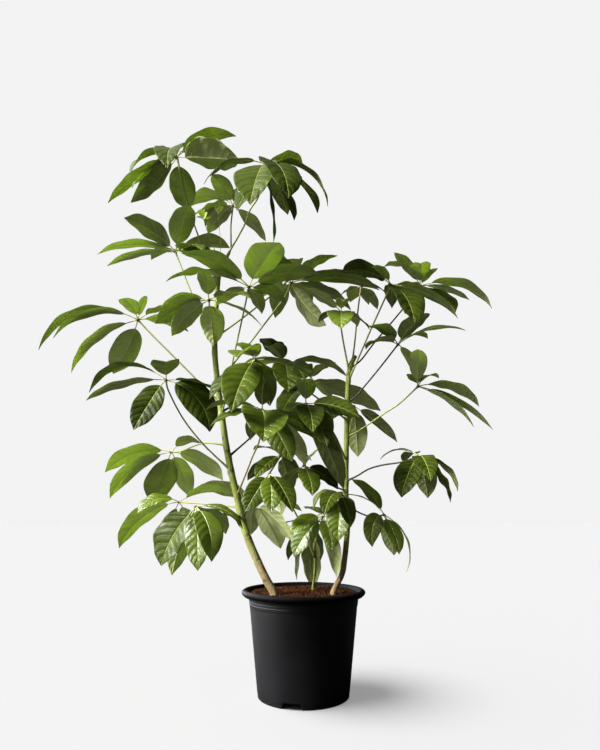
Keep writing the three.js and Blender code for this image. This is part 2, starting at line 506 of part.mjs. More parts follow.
// Settles every leaflet in turn: it takes the smallest nudge that leaves it clear of the stems, the
// leaf stalks and the leaflets before it, or else the one that leaves most room.
function settleLeaflets() {
  const stalks = LEAVES.map((leaf) => pointsAlong(stalkPoints(leaf), STALK_STEPS));
  const stems = Object.values(STEMS).map((stem) => (
    { radius: stem.radius[0], points: pointsAlong(stemPoints(stem), STEM_STEPS) }));
  const blades = [];
  return LEAVES.map((leaf, owner) => leaf.leaflets.map((leaflet) => {
    const sway = draw(-SWAY, SWAY);
    let best = null;
    for (const nudge of NUDGES) {
      const spine = leafletSpine(leaf, leaflet, nudge);
      const roll = leafletRoll(spine, leaflet, sway);
      const samples = bladeSamples(spine, leaflet, roll);
      let room = Infinity;
      stems.forEach(({ radius, points }) => {
        room = Math.min(room, leastDistance(samples, points) - radius - STALK_CLEARANCE);
      });
      stalks.forEach((points, i) => {
        const own = i === owner;
        const seen = own ? samples.slice(OUTER_SAMPLES) : samples;
        const kept = own ? points.slice(0, -HUB_STEPS) : points;
        room = Math.min(room, leastDistance(seen, kept) - STALK_CLEARANCE);
      });
      for (const blade of blades) {
        const sibling = blade.owner === owner;
        const mine = sibling ? samples.slice(OUTER_SAMPLES) : samples;
        const theirs = sibling ? blade.samples.slice(OUTER_SAMPLES) : blade.samples;
        const wanted = sibling ? SIBLING_CLEARANCE : CLEARANCE;
        room = Math.min(room, leastDistance(mine, theirs) - wanted);
      }
      if (best === null || room > best.room) best = { room, spine, roll, samples, leaflet };
      if (room >= 0) break;
    }
    blades.push({ owner, samples: best.samples });
    return best;
  }));
}

// Where a blade's cross-sections lie along it, and how wide each is.
const BLADE_PLACES = [0.13, 0.42, 0.76];
const BLADE_WIDTHS = [0.7, 1, 0.66];
const LEAFLET_ROOT = 0.012; // a leaflet's stalk starts inside the hub

function leafletSolid({ spine, roll, leaflet }) {
  const half = bladeHalfWidth(leaflet, spine.length);
  const lens = (t, width, lift, thickness) => {
    const { point, across, face } = bladeFrame(spine, roll, t);
    const edge = (sign) => point.clone().addScaledVector(across, sign * width).addScaledVector(face, lift);
    return [edge(-1), point.clone().addScaledVector(face, -thickness), edge(1),
      point.clone().addScaledVector(face, thickness)];
  };
  const stalk = (t) => lens(t, LEAFLET_STALK_RADIUS, 0, LEAFLET_STALK_RADIUS);
  const blade = BLADE_PLACES.map((share, i) => {
    const t = LEAFLET_STALK_SHARE + share * (1 - LEAFLET_STALK_SHARE);
    const width = half * BLADE_WIDTHS[i];
    return lens(t, width, width * BLADE_FOLD, BLADE_THICKNESS / 2);
  });
  const tip = lens(1, 0, 0, 0);
  return skinOver([stalk(LEAFLET_ROOT), stalk(LEAFLET_STALK_SHARE), ...blade, tip]);
}

// A cut may leave a loose scrap on the far side of a stem, which is dropped.
function largestBody(solid) {
  return solid.decompose().reduce((most, body) => (body.volume() > most.volume() ? body : most));
}

function leafSolid(leaf, settled, stemsAround) {
  const line = stalkPoints(leaf);
  const count = leaf.stalk.length + 3;
  const small = Math.min(1, leaf.length / FULL_SIZE_LENGTH);
  const radii = Array.from({ length: count + 1 }, (_, i) => {
    const flare = Math.max(0, 1 - (4 * i) / count);
    return small * (STALK_RADIUS + (STALK_BASE_RADIUS - STALK_RADIUS) * flare);
  });
  const stalk = bar(pointsAlong(line, count), radii, STALK_SIDES);
  const ball = new THREE.OctahedronGeometry(HUB_RADIUS * small);
  ball.translate(...line[line.length - 1].toArray());
  const whole = wasm.Manifold.union([stalk, solidOf(ball), ...settled.map(leafletSolid)]);
  return largestBody(stemsAround.reduce((solid, stem) => solid.subtract(stem), whole));
}

// ---- Pot and soil --------------------------------------------------------------------------------

function outerRadiusAt(height) {
  return FOOT_RADIUS + ((NECK_RADIUS - FOOT_RADIUS) * height) / (POT_HEIGHT - LIP_DEPTH);
}

function innerRadiusAt(height) {
  return outerRadiusAt(height) - WALL;
}

function potSolid() {
  const lipBottom = POT_HEIGHT - LIP_DEPTH;
  const channelTop = FLOOR_LIFT;
  const floorTop = FLOOR_LIFT + WALL;
  const profile = [
    [0, 0],
    [BOSS_RADIUS, 0],
    [BOSS_RADIUS + 5, channelTop],
    [FOOT_RADIUS - FOOT_WIDTH - 3, channelTop],
    [FOOT_RADIUS - FOOT_WIDTH, 0],
    [FOOT_RADIUS - ROUND_CORNER, 0],
    [outerRadiusAt(ROUND_CORNER), ROUND_CORNER],
    [outerRadiusAt(lipBottom - COLLAR_DEPTH), lipBottom - COLLAR_DEPTH],
    [outerRadiusAt(lipBottom - COLLAR_DEPTH) + COLLAR_STEP, lipBottom - COLLAR_DEPTH + 2],
    [outerRadiusAt(lipBottom) + COLLAR_STEP, lipBottom],
    [LIP_RADIUS - 5, lipBottom + 1],
    [LIP_RADIUS, lipBottom + 7],
    [LIP_RADIUS - 0.6, POT_HEIGHT - 4],
    [LIP_RADIUS - 5, POT_HEIGHT],
    [innerRadiusAt(POT_HEIGHT - 12), POT_HEIGHT - 12],
    [innerRadiusAt(floorTop), floorTop],
    [0, floorTop],
  ];
  const points = profile.map(([radius, height]) => new THREE.Vector2(radius, height));
  const lathe = new THREE.LatheGeometry(points, POT_SIDES);
  lathe.rotateX(Math.PI / 2);
  const notches = Array.from({ length: NOTCH_COUNT }, (_, i) => {
    const box = new THREE.BoxGeometry(4 * FOOT_WIDTH, NOTCH_WIDTH, 2 * NOTCH_HEIGHT);
    box.translate(FOOT_RADIUS, 0, 0);
    box.rotateZ(NOTCH_AZIMUTH + (2 * Math.PI * i) / NOTCH_COUNT);
    return solidOf(box);
  });
  return notches.reduce((solid, notch) => solid.subtract(notch), solidOf(lathe));
}

function soilHeight(x, y) {
  const crumbs = Math.sin(x * 0.31 + 1.3) * Math.cos(y * 0.27) + 0.6 * Math.sin(x * 0.11 - y * 0.17 + 0.5);
  return SOIL_TOP + (SOIL_RELIEF / 1.6) * crumbs;
}

function soilSolid(holes) {
  const bottom = FLOOR_LIFT + WALL + GAP;
  const sections = [];
  const ring = (radius, heightAt) => Array.from({ length: SOIL_SIDES }, (_, k) => {
    const angle = (2 * Math.PI * k) / SOIL_SIDES;
    const x = radius * Math.cos(angle);
    const y = radius * Math.sin(angle);
    return new THREE.Vector3(x, y, heightAt(x, y));
  });
  const facetShare = Math.cos(Math.PI / POT_SIDES); // the pot's facets cut in between its corners
  const bottomRadius = innerRadiusAt(bottom) * facetShare - GAP;
  const topRadius = innerRadiusAt(SOIL_TOP - 6) * facetShare - GAP;
  sections.push(ring(bottomRadius, () => bottom));
  sections.push(ring(topRadius, () => SOIL_TOP - 6));
  for (let i = 0; i < SOIL_RINGS; i += 1) {
    sections.push(ring(topRadius * (0.985 - (0.9 * i) / SOIL_RINGS), soilHeight));
  }
  const body = skinOver(sections);
  return holes.reduce((solid, hole) => solid.subtract(hole), body);
}

// ---- The whole plant -----------------------------------------------------------------------------

const POT_COLOR = 0x1b1b1c;
const SOIL_COLOR = 0x4a2a1c;
const LEAF_COLOR = 0x3f6a22;
const SPROUT_COLOR = 0x8fae3c;

function meshOf(name, solid, color, roughness) {
  const material = new THREE.MeshStandardMaterial({ color, roughness, metalness: 0 });
  const mesh = new THREE.Mesh(geometryOf(solid), material);
  mesh.name = name;
  return mesh;
}

function buildPlant() {
  const plant = new THREE.Group();
  plant.name = "umbrella_plant";
  plant.add(meshOf("pot", potSolid(), POT_COLOR, 0.55));
  const holes = Object.values(STEMS).map((stem) => {
    const foot = stemFoot(stem);
    const hole = new THREE.CylinderGeometry(
      stem.radius[0] + HOLE_SLACK, stem.radius[0] + HOLE_SLACK, 2 * STEM_HOLE_DEPTH, 12);
    hole.rotateX(Math.PI / 2);
    hole.translate(foot.x, foot.y, SOIL_TOP);
    return solidOf(hole);
  });
  plant.add(meshOf("soil", soilSolid(holes), SOIL_COLOR, 1));
  for (const [name, stem] of Object.entries(STEMS)) {
    plant.add(meshOf(name, stemSolid(stem, 0), stem.color, 0.7));
  }
  const settled = settleLeaflets();
  const stemsAround = Object.values(STEMS).map((stem) => stemSolid(stem, GAP));
  LEAVES.forEach((leaf, i) => {
    const color = leaf.length < FULL_SIZE_LENGTH ? SPROUT_COLOR : LEAF_COLOR;
    plant.add(meshOf(leaf.name, leafSolid(leaf, settled[i], stemsAround), color, 0.4));
  });
  return plant;
}

export default buildPlant();
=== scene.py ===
# %% [markdown]
# # An umbrella plant in a black nursery pot
# Two slim trunks and a young shoot stand in reddish-brown potting soil. Each of their leaves is compound: a
# long stalk carries a hub, and a ring of stalked leaflets hangs from it like the ribs of an umbrella.
# The CAD model holds the plant's real size and the place of each leaf. This lesson dresses it: every plain
# solid is replaced by a finer piece that stands in the same place, and gets a material built from nodes.

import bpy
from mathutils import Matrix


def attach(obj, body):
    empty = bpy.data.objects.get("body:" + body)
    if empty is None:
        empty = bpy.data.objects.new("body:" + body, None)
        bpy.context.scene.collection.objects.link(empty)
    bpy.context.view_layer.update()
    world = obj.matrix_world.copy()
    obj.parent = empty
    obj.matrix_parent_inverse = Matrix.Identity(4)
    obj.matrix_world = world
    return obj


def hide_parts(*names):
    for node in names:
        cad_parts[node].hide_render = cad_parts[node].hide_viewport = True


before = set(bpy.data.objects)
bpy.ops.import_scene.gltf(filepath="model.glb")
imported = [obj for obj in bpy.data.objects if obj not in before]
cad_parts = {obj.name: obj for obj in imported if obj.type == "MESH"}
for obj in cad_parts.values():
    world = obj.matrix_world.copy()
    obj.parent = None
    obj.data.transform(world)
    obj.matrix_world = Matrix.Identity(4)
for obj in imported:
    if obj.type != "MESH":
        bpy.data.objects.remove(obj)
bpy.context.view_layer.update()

# %% [markdown]
# The plant is measured in millimetres here, as its maker would measure it, and Blender wants metres, so
# every mesh is scaled by MM when it is made. Numpy works on whole rows of points at once, which keeps the
# many leaflets quick. Every random draw comes from a generator with a fixed seed, so each run makes the
# same plant.

# %% Tools and units
import math

import bpy
import numpy as np
from mathutils import Vector, noise

MM = 0.001
UP = np.array([0.0, 0.0, 1.0])
scene = bpy.context.scene


def unit(vectors):
    """Each vector made one long."""
    return vectors / np.linalg.norm(vectors, axis=-1, keepdims=True)


print("one millimetre is", MM, "of a Blender unit")

# %% [markdown]
# ## The camera
# The photograph was taken level, with the horizon low in the picture and the lens shifted up, as studio
# photographers do to keep a tall plant's verticals upright. The pot's rim and foot are circles, and the way
# they show as flat ellipses gives the distance and the height of the eye. The same numbers turn a place in
# the picture and a depth into a place in the room, and the leaves below are laid out with them.

# %% The camera
FOCAL_LENGTH = 540.0  # in pixels of the 600 x 750 picture
PICTURE_WIDTH, PICTURE_HEIGHT = 600, 750
AXIS_COLUMN = 303.5  # where the pot's axis shows
HORIZON_ROW = 519.0
EYE_DISTANCE = 1190.0  # mm, from the pot's axis
EYE_HEIGHT = 387.0  # mm
SENSOR = 36.0  # mm, the longer side

camera_data = bpy.data.cameras.new("camera")
camera_data.sensor_width = SENSOR
camera_data.lens = SENSOR * FOCAL_LENGTH / PICTURE_HEIGHT
camera_data.shift_x = (PICTURE_WIDTH / 2 - AXIS_COLUMN) / PICTURE_HEIGHT
camera_data.shift_y = (HORIZON_ROW - PICTURE_HEIGHT / 2) / PICTURE_HEIGHT
camera = bpy.data.objects.new("camera", camera_data)
camera.location = (0, -EYE_DISTANCE * MM, EYE_HEIGHT * MM)
camera.rotation_euler = (math.radians(90), 0, 0)
scene.collection.objects.link(camera)
scene.camera = camera


def seen_at(column, row, depth):
    """The place in the room that shows at a column and row of the picture, at a depth along +Y."""
    scale = (EYE_DISTANCE + depth) / FOCAL_LENGTH
    return np.array([(column - AXIS_COLUMN) * scale, depth, EYE_HEIGHT - (row - HORIZON_ROW) * scale])


print("camera: lens", round(camera_data.lens, 2), "mm, shift", round(camera_data.shift_y, 3))

# %% [markdown]
# ## Shared node groups
# Real surfaces are never one flat colour. Two effects serve most materials here: a mottle, which is a soft
# cloud of light and dark with finer grain on it, and the net of veins of a leaflet. Each is a node group,
# so that it is drawn once and every material gives it its own scale. A group puts out only masks and
# heights, and the shader itself stays in the material.

# %% Adding nodes
def feed(tree, socket, value):
    """Links a socket to the output it is given, or sets it to the plain value."""
    if isinstance(value, bpy.types.NodeSocket):
        tree.links.new(value, socket)
    else:
        socket.default_value = value


def add_node(tree, kind, inputs=None, **settings):
    """A new node, with its settings made and its inputs fed."""
    node = tree.nodes.new(kind)
    for name, value in settings.items():
        setattr(node, name, value)
    for name, value in (inputs or {}).items():
        feed(tree, node.inputs[name], value)
    return node


def mesh_field(tree, name, kind="Vector"):
    """What the mesh carries at its vertices under a name, as a vector or a colour."""
    return add_node(tree, "ShaderNodeAttribute", attribute_name=name).outputs[kind]


def place_of(tree):
    """Where a point is, in its object's own metres."""
    return add_node(tree, "ShaderNodeTexCoord").outputs["Object"]


def parts_of(tree, vector):
    """The X, Y and Z of a vector."""
    return add_node(tree, "ShaderNodeSeparateXYZ", {"Vector": vector}).outputs


print("nodes are added by", add_node.__name__)

# %% Sums and eased ramps
def math_of(tree, operation, first, second=0.0, third=0.0):
    """The output of a Math node."""
    node = add_node(tree, "ShaderNodeMath", {0: first, 1: second, 2: third}, operation=operation)
    return node.outputs[0]


def product_of(tree, first, second):
    """Two values multiplied."""
    return math_of(tree, "MULTIPLY", first, second)


def scaled_onto(tree, value, factor, start):
    """start plus value times factor."""
    return math_of(tree, "MULTIPLY_ADD", value, factor, start)


def ramp_of(tree, value, low, high, out_low=0.0, out_high=1.0):
    """value eased from low..high to out_low..out_high."""
    ends = {"From Min": low, "From Max": high, "To Min": out_low, "To Max": out_high}
    node = add_node(tree, "ShaderNodeMapRange", {"Value": value, **ends}, interpolation_type="SMOOTHSTEP")
    return node.outputs["Result"]


print("masks are made by", math_of.__name__, "and", ramp_of.__name__)

# %% [markdown]
# The Mix node has several sockets with one name, one for each kind of value, and a name alone finds the
# first. So the colour mix feeds its sockets by their place in the list.

# %% Colour mixes
MIX_SHARE, MIX_FIRST, MIX_SECOND, MIX_RESULT = 0, 6, 7, 2  # places of the sockets for colours
WHITE = (1, 1, 1, 1)


def blend_of(tree, share, first, second):
    """Two colours mixed by share."""
    inputs = {MIX_SHARE: share, MIX_FIRST: first, MIX_SECOND: second}
    return add_node(tree, "ShaderNodeMix", inputs, data_type="RGBA").outputs[MIX_RESULT]


print("colours are mixed by", blend_of.__name__)

# %% [markdown]
# ## Light and floor
# The studio has one large soft light on the left, which shows in the pot as a pale edge, and a dark side on
# the right. So the room's brightness falls from left to right, and a sun lamp with a wide angle comes from
# the same side, a little from the front. The camera itself sees an even white backdrop.
# A retouched catalogue picture keeps the floor white: only the pot's own soft shadow is left on it. Light
# linking does the same, with one sun for the plant and one for the floor, which only the pot holds back.

# %% The room
BACKDROP = 0.896  # the white of the studio as the camera sees it
ROOM_LEFT, ROOM_RIGHT = 1.0, 0.05  # the room as light on the plant, from its bright and its dark side
ROOM_EDGES = (-0.85, 0.2)  # where the change is, as the sideways part of a direction

world = bpy.data.worlds.new("studio")
scene.world = world
world.use_nodes = True
sky = world.node_tree
sky.nodes.clear()
direction = add_node(sky, "ShaderNodeTexCoord").outputs["Generated"]
sideways = parts_of(sky, direction)["X"]
strength = ramp_of(sky, sideways, *ROOM_EDGES, ROOM_LEFT, ROOM_RIGHT)
room = add_node(sky, "ShaderNodeBackground", {"Color": WHITE, "Strength": strength})
backdrop = add_node(sky, "ShaderNodeBackground", {"Color": WHITE, "Strength": BACKDROP})
seen = add_node(sky, "ShaderNodeLightPath").outputs["Is Camera Ray"]
choice = add_node(sky, "ShaderNodeMixShader", {0: seen, 1: room.outputs[0], 2: backdrop.outputs[0]})
add_node(sky, "ShaderNodeOutputWorld", {"Surface": choice.outputs[0]})
scene.view_settings.view_transform = "Standard"
print("room light from", ROOM_RIGHT, "to", ROOM_LEFT)

# %% [markdown]
# The floor is matt. It is painted grey, and its own sun and a little glow of its own lift it to white, so
# that the shade which the leaves throw in the room's light hardly shows on it and the pot's shadow never
# goes black. For light that bounces, it is nearly black, because in the picture the pot stays black to its
# foot.

# %% The floor
FLOOR_GREY, FLOOR_BOUNCE = 0.2, 0.02  # as the camera sees it, and as it throws light back
FLOOR_LIFT = 0.29  # the floor's own glow for the camera
GLOW_FROM = (0.095, 0.104)  # m from the pot's axis: no glow inside the foot, a painted shade under the pot that shows in the notch
FLOOR_REACH = 60.0  # m
FLOOR_LEVEL = -0.0002  # m, a hair under the foot

floor_data = bpy.data.meshes.new("floor")
corner_ways = ((-1, -1), (1, -1), (1, 1), (-1, 1))
floor_corners = [(x * FLOOR_REACH, y * FLOOR_REACH, FLOOR_LEVEL) for x, y in corner_ways]
floor_data.from_pydata(floor_corners, [], [(0, 1, 2, 3)])
floor = bpy.data.objects.new("floor", floor_data)
scene.collection.objects.link(floor)
floor_paint = bpy.data.materials.new("floor_paint")
floor_paint.use_nodes = True
paint = floor_paint.node_tree
paint.nodes.clear()
seen = add_node(paint, "ShaderNodeLightPath").outputs["Is Camera Ray"]
dim, grey = (add_node(paint, "ShaderNodeBsdfDiffuse", {"Color": (tone, tone, tone, 1)}).outputs[0]
             for tone in (FLOOR_BOUNCE, FLOOR_GREY))
from_axis = add_node(paint, "ShaderNodeVectorMath", {0: place_of(paint)}, operation="LENGTH")
lift = ramp_of(paint, from_axis.outputs["Value"], *GLOW_FROM, 0.0, FLOOR_LIFT)
glow = add_node(paint, "ShaderNodeEmission", {"Color": WHITE, "Strength": lift}).outputs[0]
lifted = add_node(paint, "ShaderNodeAddShader", {0: grey, 1: glow}).outputs[0]
choice = add_node(paint, "ShaderNodeMixShader", {0: seen, 1: dim, 2: lifted})
add_node(paint, "ShaderNodeOutputMaterial", {"Surface": choice.outputs[0]})
floor_data.materials.append(floor_paint)
print("floor", FLOOR_REACH * 2, "m wide")

# %% [markdown]
# Four wide suns do the rest. The plant's own sun comes from the left and a little from the front. Light
# that a white floor would throw back up comes from a sun below, which spares the pot. The floor has a
# softer sun from the left, which only the pot holds back. The last comes low from the left, a little from
# behind, and reaches the pot alone: it draws the pale edge down the pot's left side, which separates black
# plastic from its own shadow.

# %% The suns
PLANT_SUN, PLANT_GLOW, FLOOR_SUN, EDGE_SUN = 8.8, 0.55, 10.2, 18.0
SUN_HEADING = 24.0  # degrees behind +X that the light runs
shadow_makers = bpy.data.collections.new("shadow_on_the_floor")


def soft_sun(name, strength, spread, height, heading=SUN_HEADING):
    """A sun as wide as spread, so many degrees above the floor, or below it."""
    lamp = bpy.data.lights.new(name, "SUN")
    lamp.energy = strength
    lamp.angle = math.radians(spread)
    sun = bpy.data.objects.new(name, lamp)
    sun.rotation_euler = (0, math.radians(90 - height), math.radians(180 + heading))
    scene.collection.objects.link(sun)
    return sun


def linked(name, state, *members):
    """A collection for light linking that takes its members in or leaves them out."""
    group = bpy.data.collections.new(name)
    for member in members:
        group.objects.link(member)
        group.collection_objects[-1].light_linking.link_state = state
    return group


plant_sun = soft_sun("plant_sun", PLANT_SUN, spread=16, height=38)
plant_glow = soft_sun("plant_glow", PLANT_GLOW, spread=110, height=-62, heading=10)
for sun in (plant_sun, plant_glow):
    sun.light_linking.receiver_collection = linked(sun.name + "_lights", "EXCLUDE", floor)
plant_glow.light_linking.blocker_collection = linked("plant_glow_shadows", "EXCLUDE", floor)
floor_sun = soft_sun("floor_sun", FLOOR_SUN, spread=46, height=57, heading=6)
floor_sun.light_linking.receiver_collection = linked("floor_sun_lights", "INCLUDE", floor)
floor_sun.light_linking.blocker_collection = shadow_makers
edge_sun = soft_sun("edge_sun", EDGE_SUN, spread=90, height=12, heading=-20)
print("suns:", plant_sun.name, plant_glow.name, floor_sun.name, edge_sun.name)

# %% Groups of nodes
def new_group(name, inputs, outputs):
    """An empty node group with named sockets, with its input and output nodes' sockets."""
    group = bpy.data.node_groups.new(name, "ShaderNodeTree")
    for label, kind in inputs.items():
        group.interface.new_socket(name=label, in_out="INPUT", socket_type=f"NodeSocket{kind}")
    for label in outputs:
        group.interface.new_socket(name=label, in_out="OUTPUT", socket_type="NodeSocketFloat")
    return group, group.nodes.new("NodeGroupInput").outputs, group.nodes.new("NodeGroupOutput").inputs


def use_group(tree, group, inputs):
    """The outputs of a node that shows a group, with its inputs fed."""
    return add_node(tree, "ShaderNodeGroup", inputs, node_tree=group).outputs


print("groups are used by", use_group.__name__)

# %% [markdown]
# ### Mottle
# Two noises, one coarse and one fine, in the object's own metres. Both come out from 0 to 1.

# %% The mottle group
mottle, given, wanted = new_group(
    "mottle", {"Cloud Scale": "Float", "Grain Scale": "Float", "Contrast": "Float"}, ["Cloud", "Grain"])
place = place_of(mottle)
cloud = add_node(mottle, "ShaderNodeTexNoise",
                 {"Vector": place, "Scale": given["Cloud Scale"], "Detail": 3.0, "Roughness": 0.55})
grain = add_node(mottle, "ShaderNodeTexNoise",
                 {"Vector": place, "Scale": given["Grain Scale"], "Detail": 4.0, "Roughness": 0.6})
for source, label in ((cloud, "Cloud"), (grain, "Grain")):
    centred = math_of(mottle, "SUBTRACT", source.outputs["Fac"], 0.5)
    spread = scaled_onto(mottle, centred, given["Contrast"], 0.5)
    clamped = add_node(mottle, "ShaderNodeClamp", {"Value": spread})
    mottle.links.new(clamped.outputs["Result"], wanted[label])
print("mottle:", len(mottle.nodes), "nodes")

# %% [markdown]
# ### Veins
# Every vertex of a blade carries where it lies on its leaflet: how far across, from -1 at one margin to 1
# at the other, how far along, from 0 to 1, and how many millimetres from the midrib. The side veins leave
# the midrib in pairs, not quite opposite each other, and bend towards the tip, so they are lines of one
# value of "along minus a curve of across". The finest net is the edges of a cell pattern.

# %% The vein group
RIB_WIDTH = 1.25  # mm, half the midrib's width at the blade's foot
RIB_TAPER = 0.6  # how much of its width is gone at the tip
RIB_EDGE = (0.5 * RIB_WIDTH, 1.25 * RIB_WIDTH)  # mm, where its colour starts to fade and where it ends
SIDE_VEIN_PAIRS = 8.0
VEIN_SLANT = 0.10  # how far a side vein runs up the blade on its way to the margin, over the length
VEIN_CURL = 0.09  # how much farther it bends up near the margin
VEIN_STAGGER, VEIN_WAVER = 0.4, 0.35  # of the space between two side veins: halves apart, and by chance
VEIN_WIDTH = (0.012, 0.055)  # of that space: a vein's full colour, and where it has faded
VEIN_THINNING = 0.75  # how much of a vein's colour is gone at the margin
NET_SCALE, NET_WIDTH = 330.0, 0.14

vein_inputs = {"Blade": "Vector", "Pairs": "Float", "Shift": "Float"}
veins, given, wanted = new_group("leaflet_veins", vein_inputs, ["Midrib", "Veins", "Quilt", "Net"])
parts = parts_of(veins, given["Blade"])
across_share = math_of(veins, "ABSOLUTE", parts["X"])
slanted = scaled_onto(veins, across_share, -VEIN_SLANT, parts["Y"])
squared = product_of(veins, across_share, across_share)
curled = scaled_onto(veins, squared, -VEIN_CURL, slanted)
right_side = math_of(veins, "GREATER_THAN", parts["X"], 0.0)
stagger = scaled_onto(veins, right_side, VEIN_STAGGER, given["Shift"])
place = place_of(veins)
waver = add_node(veins, "ShaderNodeTexNoise", {"Vector": place, "Scale": 70.0, "Detail": 2.0})
start = scaled_onto(veins, waver.outputs["Fac"], VEIN_WAVER, stagger)
cell = scaled_onto(veins, curled, given["Pairs"], start)
print("leaflet_veins so far:", len(veins.nodes), "nodes")

# %% The lines of the vein group
from_middle = math_of(veins, "SUBTRACT", math_of(veins, "FRACT", cell), 0.5)
vein_line = ramp_of(veins, math_of(veins, "ABSOLUTE", from_middle), *VEIN_WIDTH, 1.0, 0.0)
thinning = scaled_onto(veins, across_share, -VEIN_THINNING, 1.0)
veins.links.new(product_of(veins, vein_line, thinning), wanted["Veins"])
taper = scaled_onto(veins, parts["Y"], -RIB_TAPER, 1.0)
from_rib = math_of(veins, "DIVIDE", parts["Z"], taper)
veins.links.new(ramp_of(veins, from_rib, *RIB_EDGE, 1.0, 0.0), wanted["Midrib"])
wave = math_of(veins, "COSINE", product_of(veins, cell, 2 * math.pi))
veins.links.new(scaled_onto(veins, wave, 0.5, 0.5), wanted["Quilt"])
net = add_node(veins, "ShaderNodeTexVoronoi", {"Vector": place, "Scale": NET_SCALE},
               feature="DISTANCE_TO_EDGE").outputs["Distance"]
veins.links.new(ramp_of(veins, net, 0.0, NET_WIDTH, 1.0, 0.0), wanted["Net"])
print("leaflet_veins:", len(veins.nodes), "nodes")

# %% [markdown]
# ## Materials
# ### The leaflet blade
# A leaflet is dark and waxy above, and paler, greyer and dull below. A thin blade also lets light through,
# which is what makes a leaf seen from its shaded side glow yellow-green. So the material adds a Translucent
# shader to the Principled one. Which face a point is on comes from the mesh, not from how the light or the
# camera meets it, so the colours stay where they belong from every side.

# %% Starting a material
def new_material(name):
    """A material with a Principled shader, its tree and that shader."""
    material = bpy.data.materials.new(name)
    material.use_nodes = True
    tree = material.node_tree
    return material, tree, tree.nodes["Principled BSDF"]


def drive(tree, shader, **sockets):
    """Links each output to the shader's socket of that name, with _ for a space."""
    for label, output in sockets.items():
        tree.links.new(output, shader.inputs[label.replace("_", " ")])


def bump_of(tree, height, distance):
    """The normal of a surface raised by height, from 0 to 1, times distance in metres."""
    return add_node(tree, "ShaderNodeBump", {"Height": height, "Distance": distance}).outputs["Normal"]


print("materials start from", new_material.__name__)

# %% The two faces of a blade
LINE_SHARE = 0.95  # how strongly the lines cover the ground
QUILT_RELIEF, GRAIN_RELIEF, SUNK_LINES, RAISED_LINES = 0.55, 0.06, 0.45, 0.5  # over the relief's height


def lined_face(tree, paleness, colors, side_veins, midrib):
    """One face's colour: its ground from dark to pale, under its lines. colors are dark, pale and line."""
    dark, pale, line = colors
    ground = blend_of(tree, paleness, dark, pale)
    lines = math_of(tree, "MAXIMUM", side_veins, midrib)
    return blend_of(tree, product_of(tree, lines, LINE_SHARE), ground, line)


def blade_relief(tree, is_upper, lines, all_lines, grain):
    """The height of a blade's skin: lines sunk and quilts raised above, and the other way round below."""
    relief = scaled_onto(tree, lines["Quilt"], QUILT_RELIEF, product_of(tree, grain, GRAIN_RELIEF))
    sunk = scaled_onto(tree, all_lines, -SUNK_LINES, relief)
    raised = math_of(tree, "SUBTRACT", product_of(tree, all_lines, RAISED_LINES), relief)
    is_under = math_of(tree, "SUBTRACT", 1.0, is_upper)
    return math_of(tree, "ADD", product_of(tree, is_upper, sunk), product_of(tree, is_under, raised))


print("a blade's faces are coloured by", lined_face.__name__)

# %% The leaflet material
UPPER_SHEEN, UNDER_SHEEN = (0.12, 1.0), 0.16  # how much light a face throws back: dull to waxy, and below
SHEEN_FROM = (0.15, 0.95)  # how pale a place is where its sheen starts to rise, and where it is full
CLOUD_SHARE, LEAF_SHARE = 0.35, 0.85  # what the mottle and the leaflet add to how pale a place is
NET_SHARE = 0.28  # how strongly the net shows beside the side veins
UPPER_VEINS, UNDER_VEINS = 0.5, 0.65  # how strongly both show on each face
UNDER_ROUGHNESS, UPPER_WEAR, UNDER_WEAR = 0.62, 0.12, 0.15  # wear is what the grain adds to roughness
RELIEF_HEIGHT = 0.0009  # m
PALE_GLOW, LINE_GLOW = (0.25, 0.32, 0.014, 1), (0.04, 0.07, 0.006, 1)  # of light let through
LINE_SHADE = 0.35  # how much of it the lines hold back


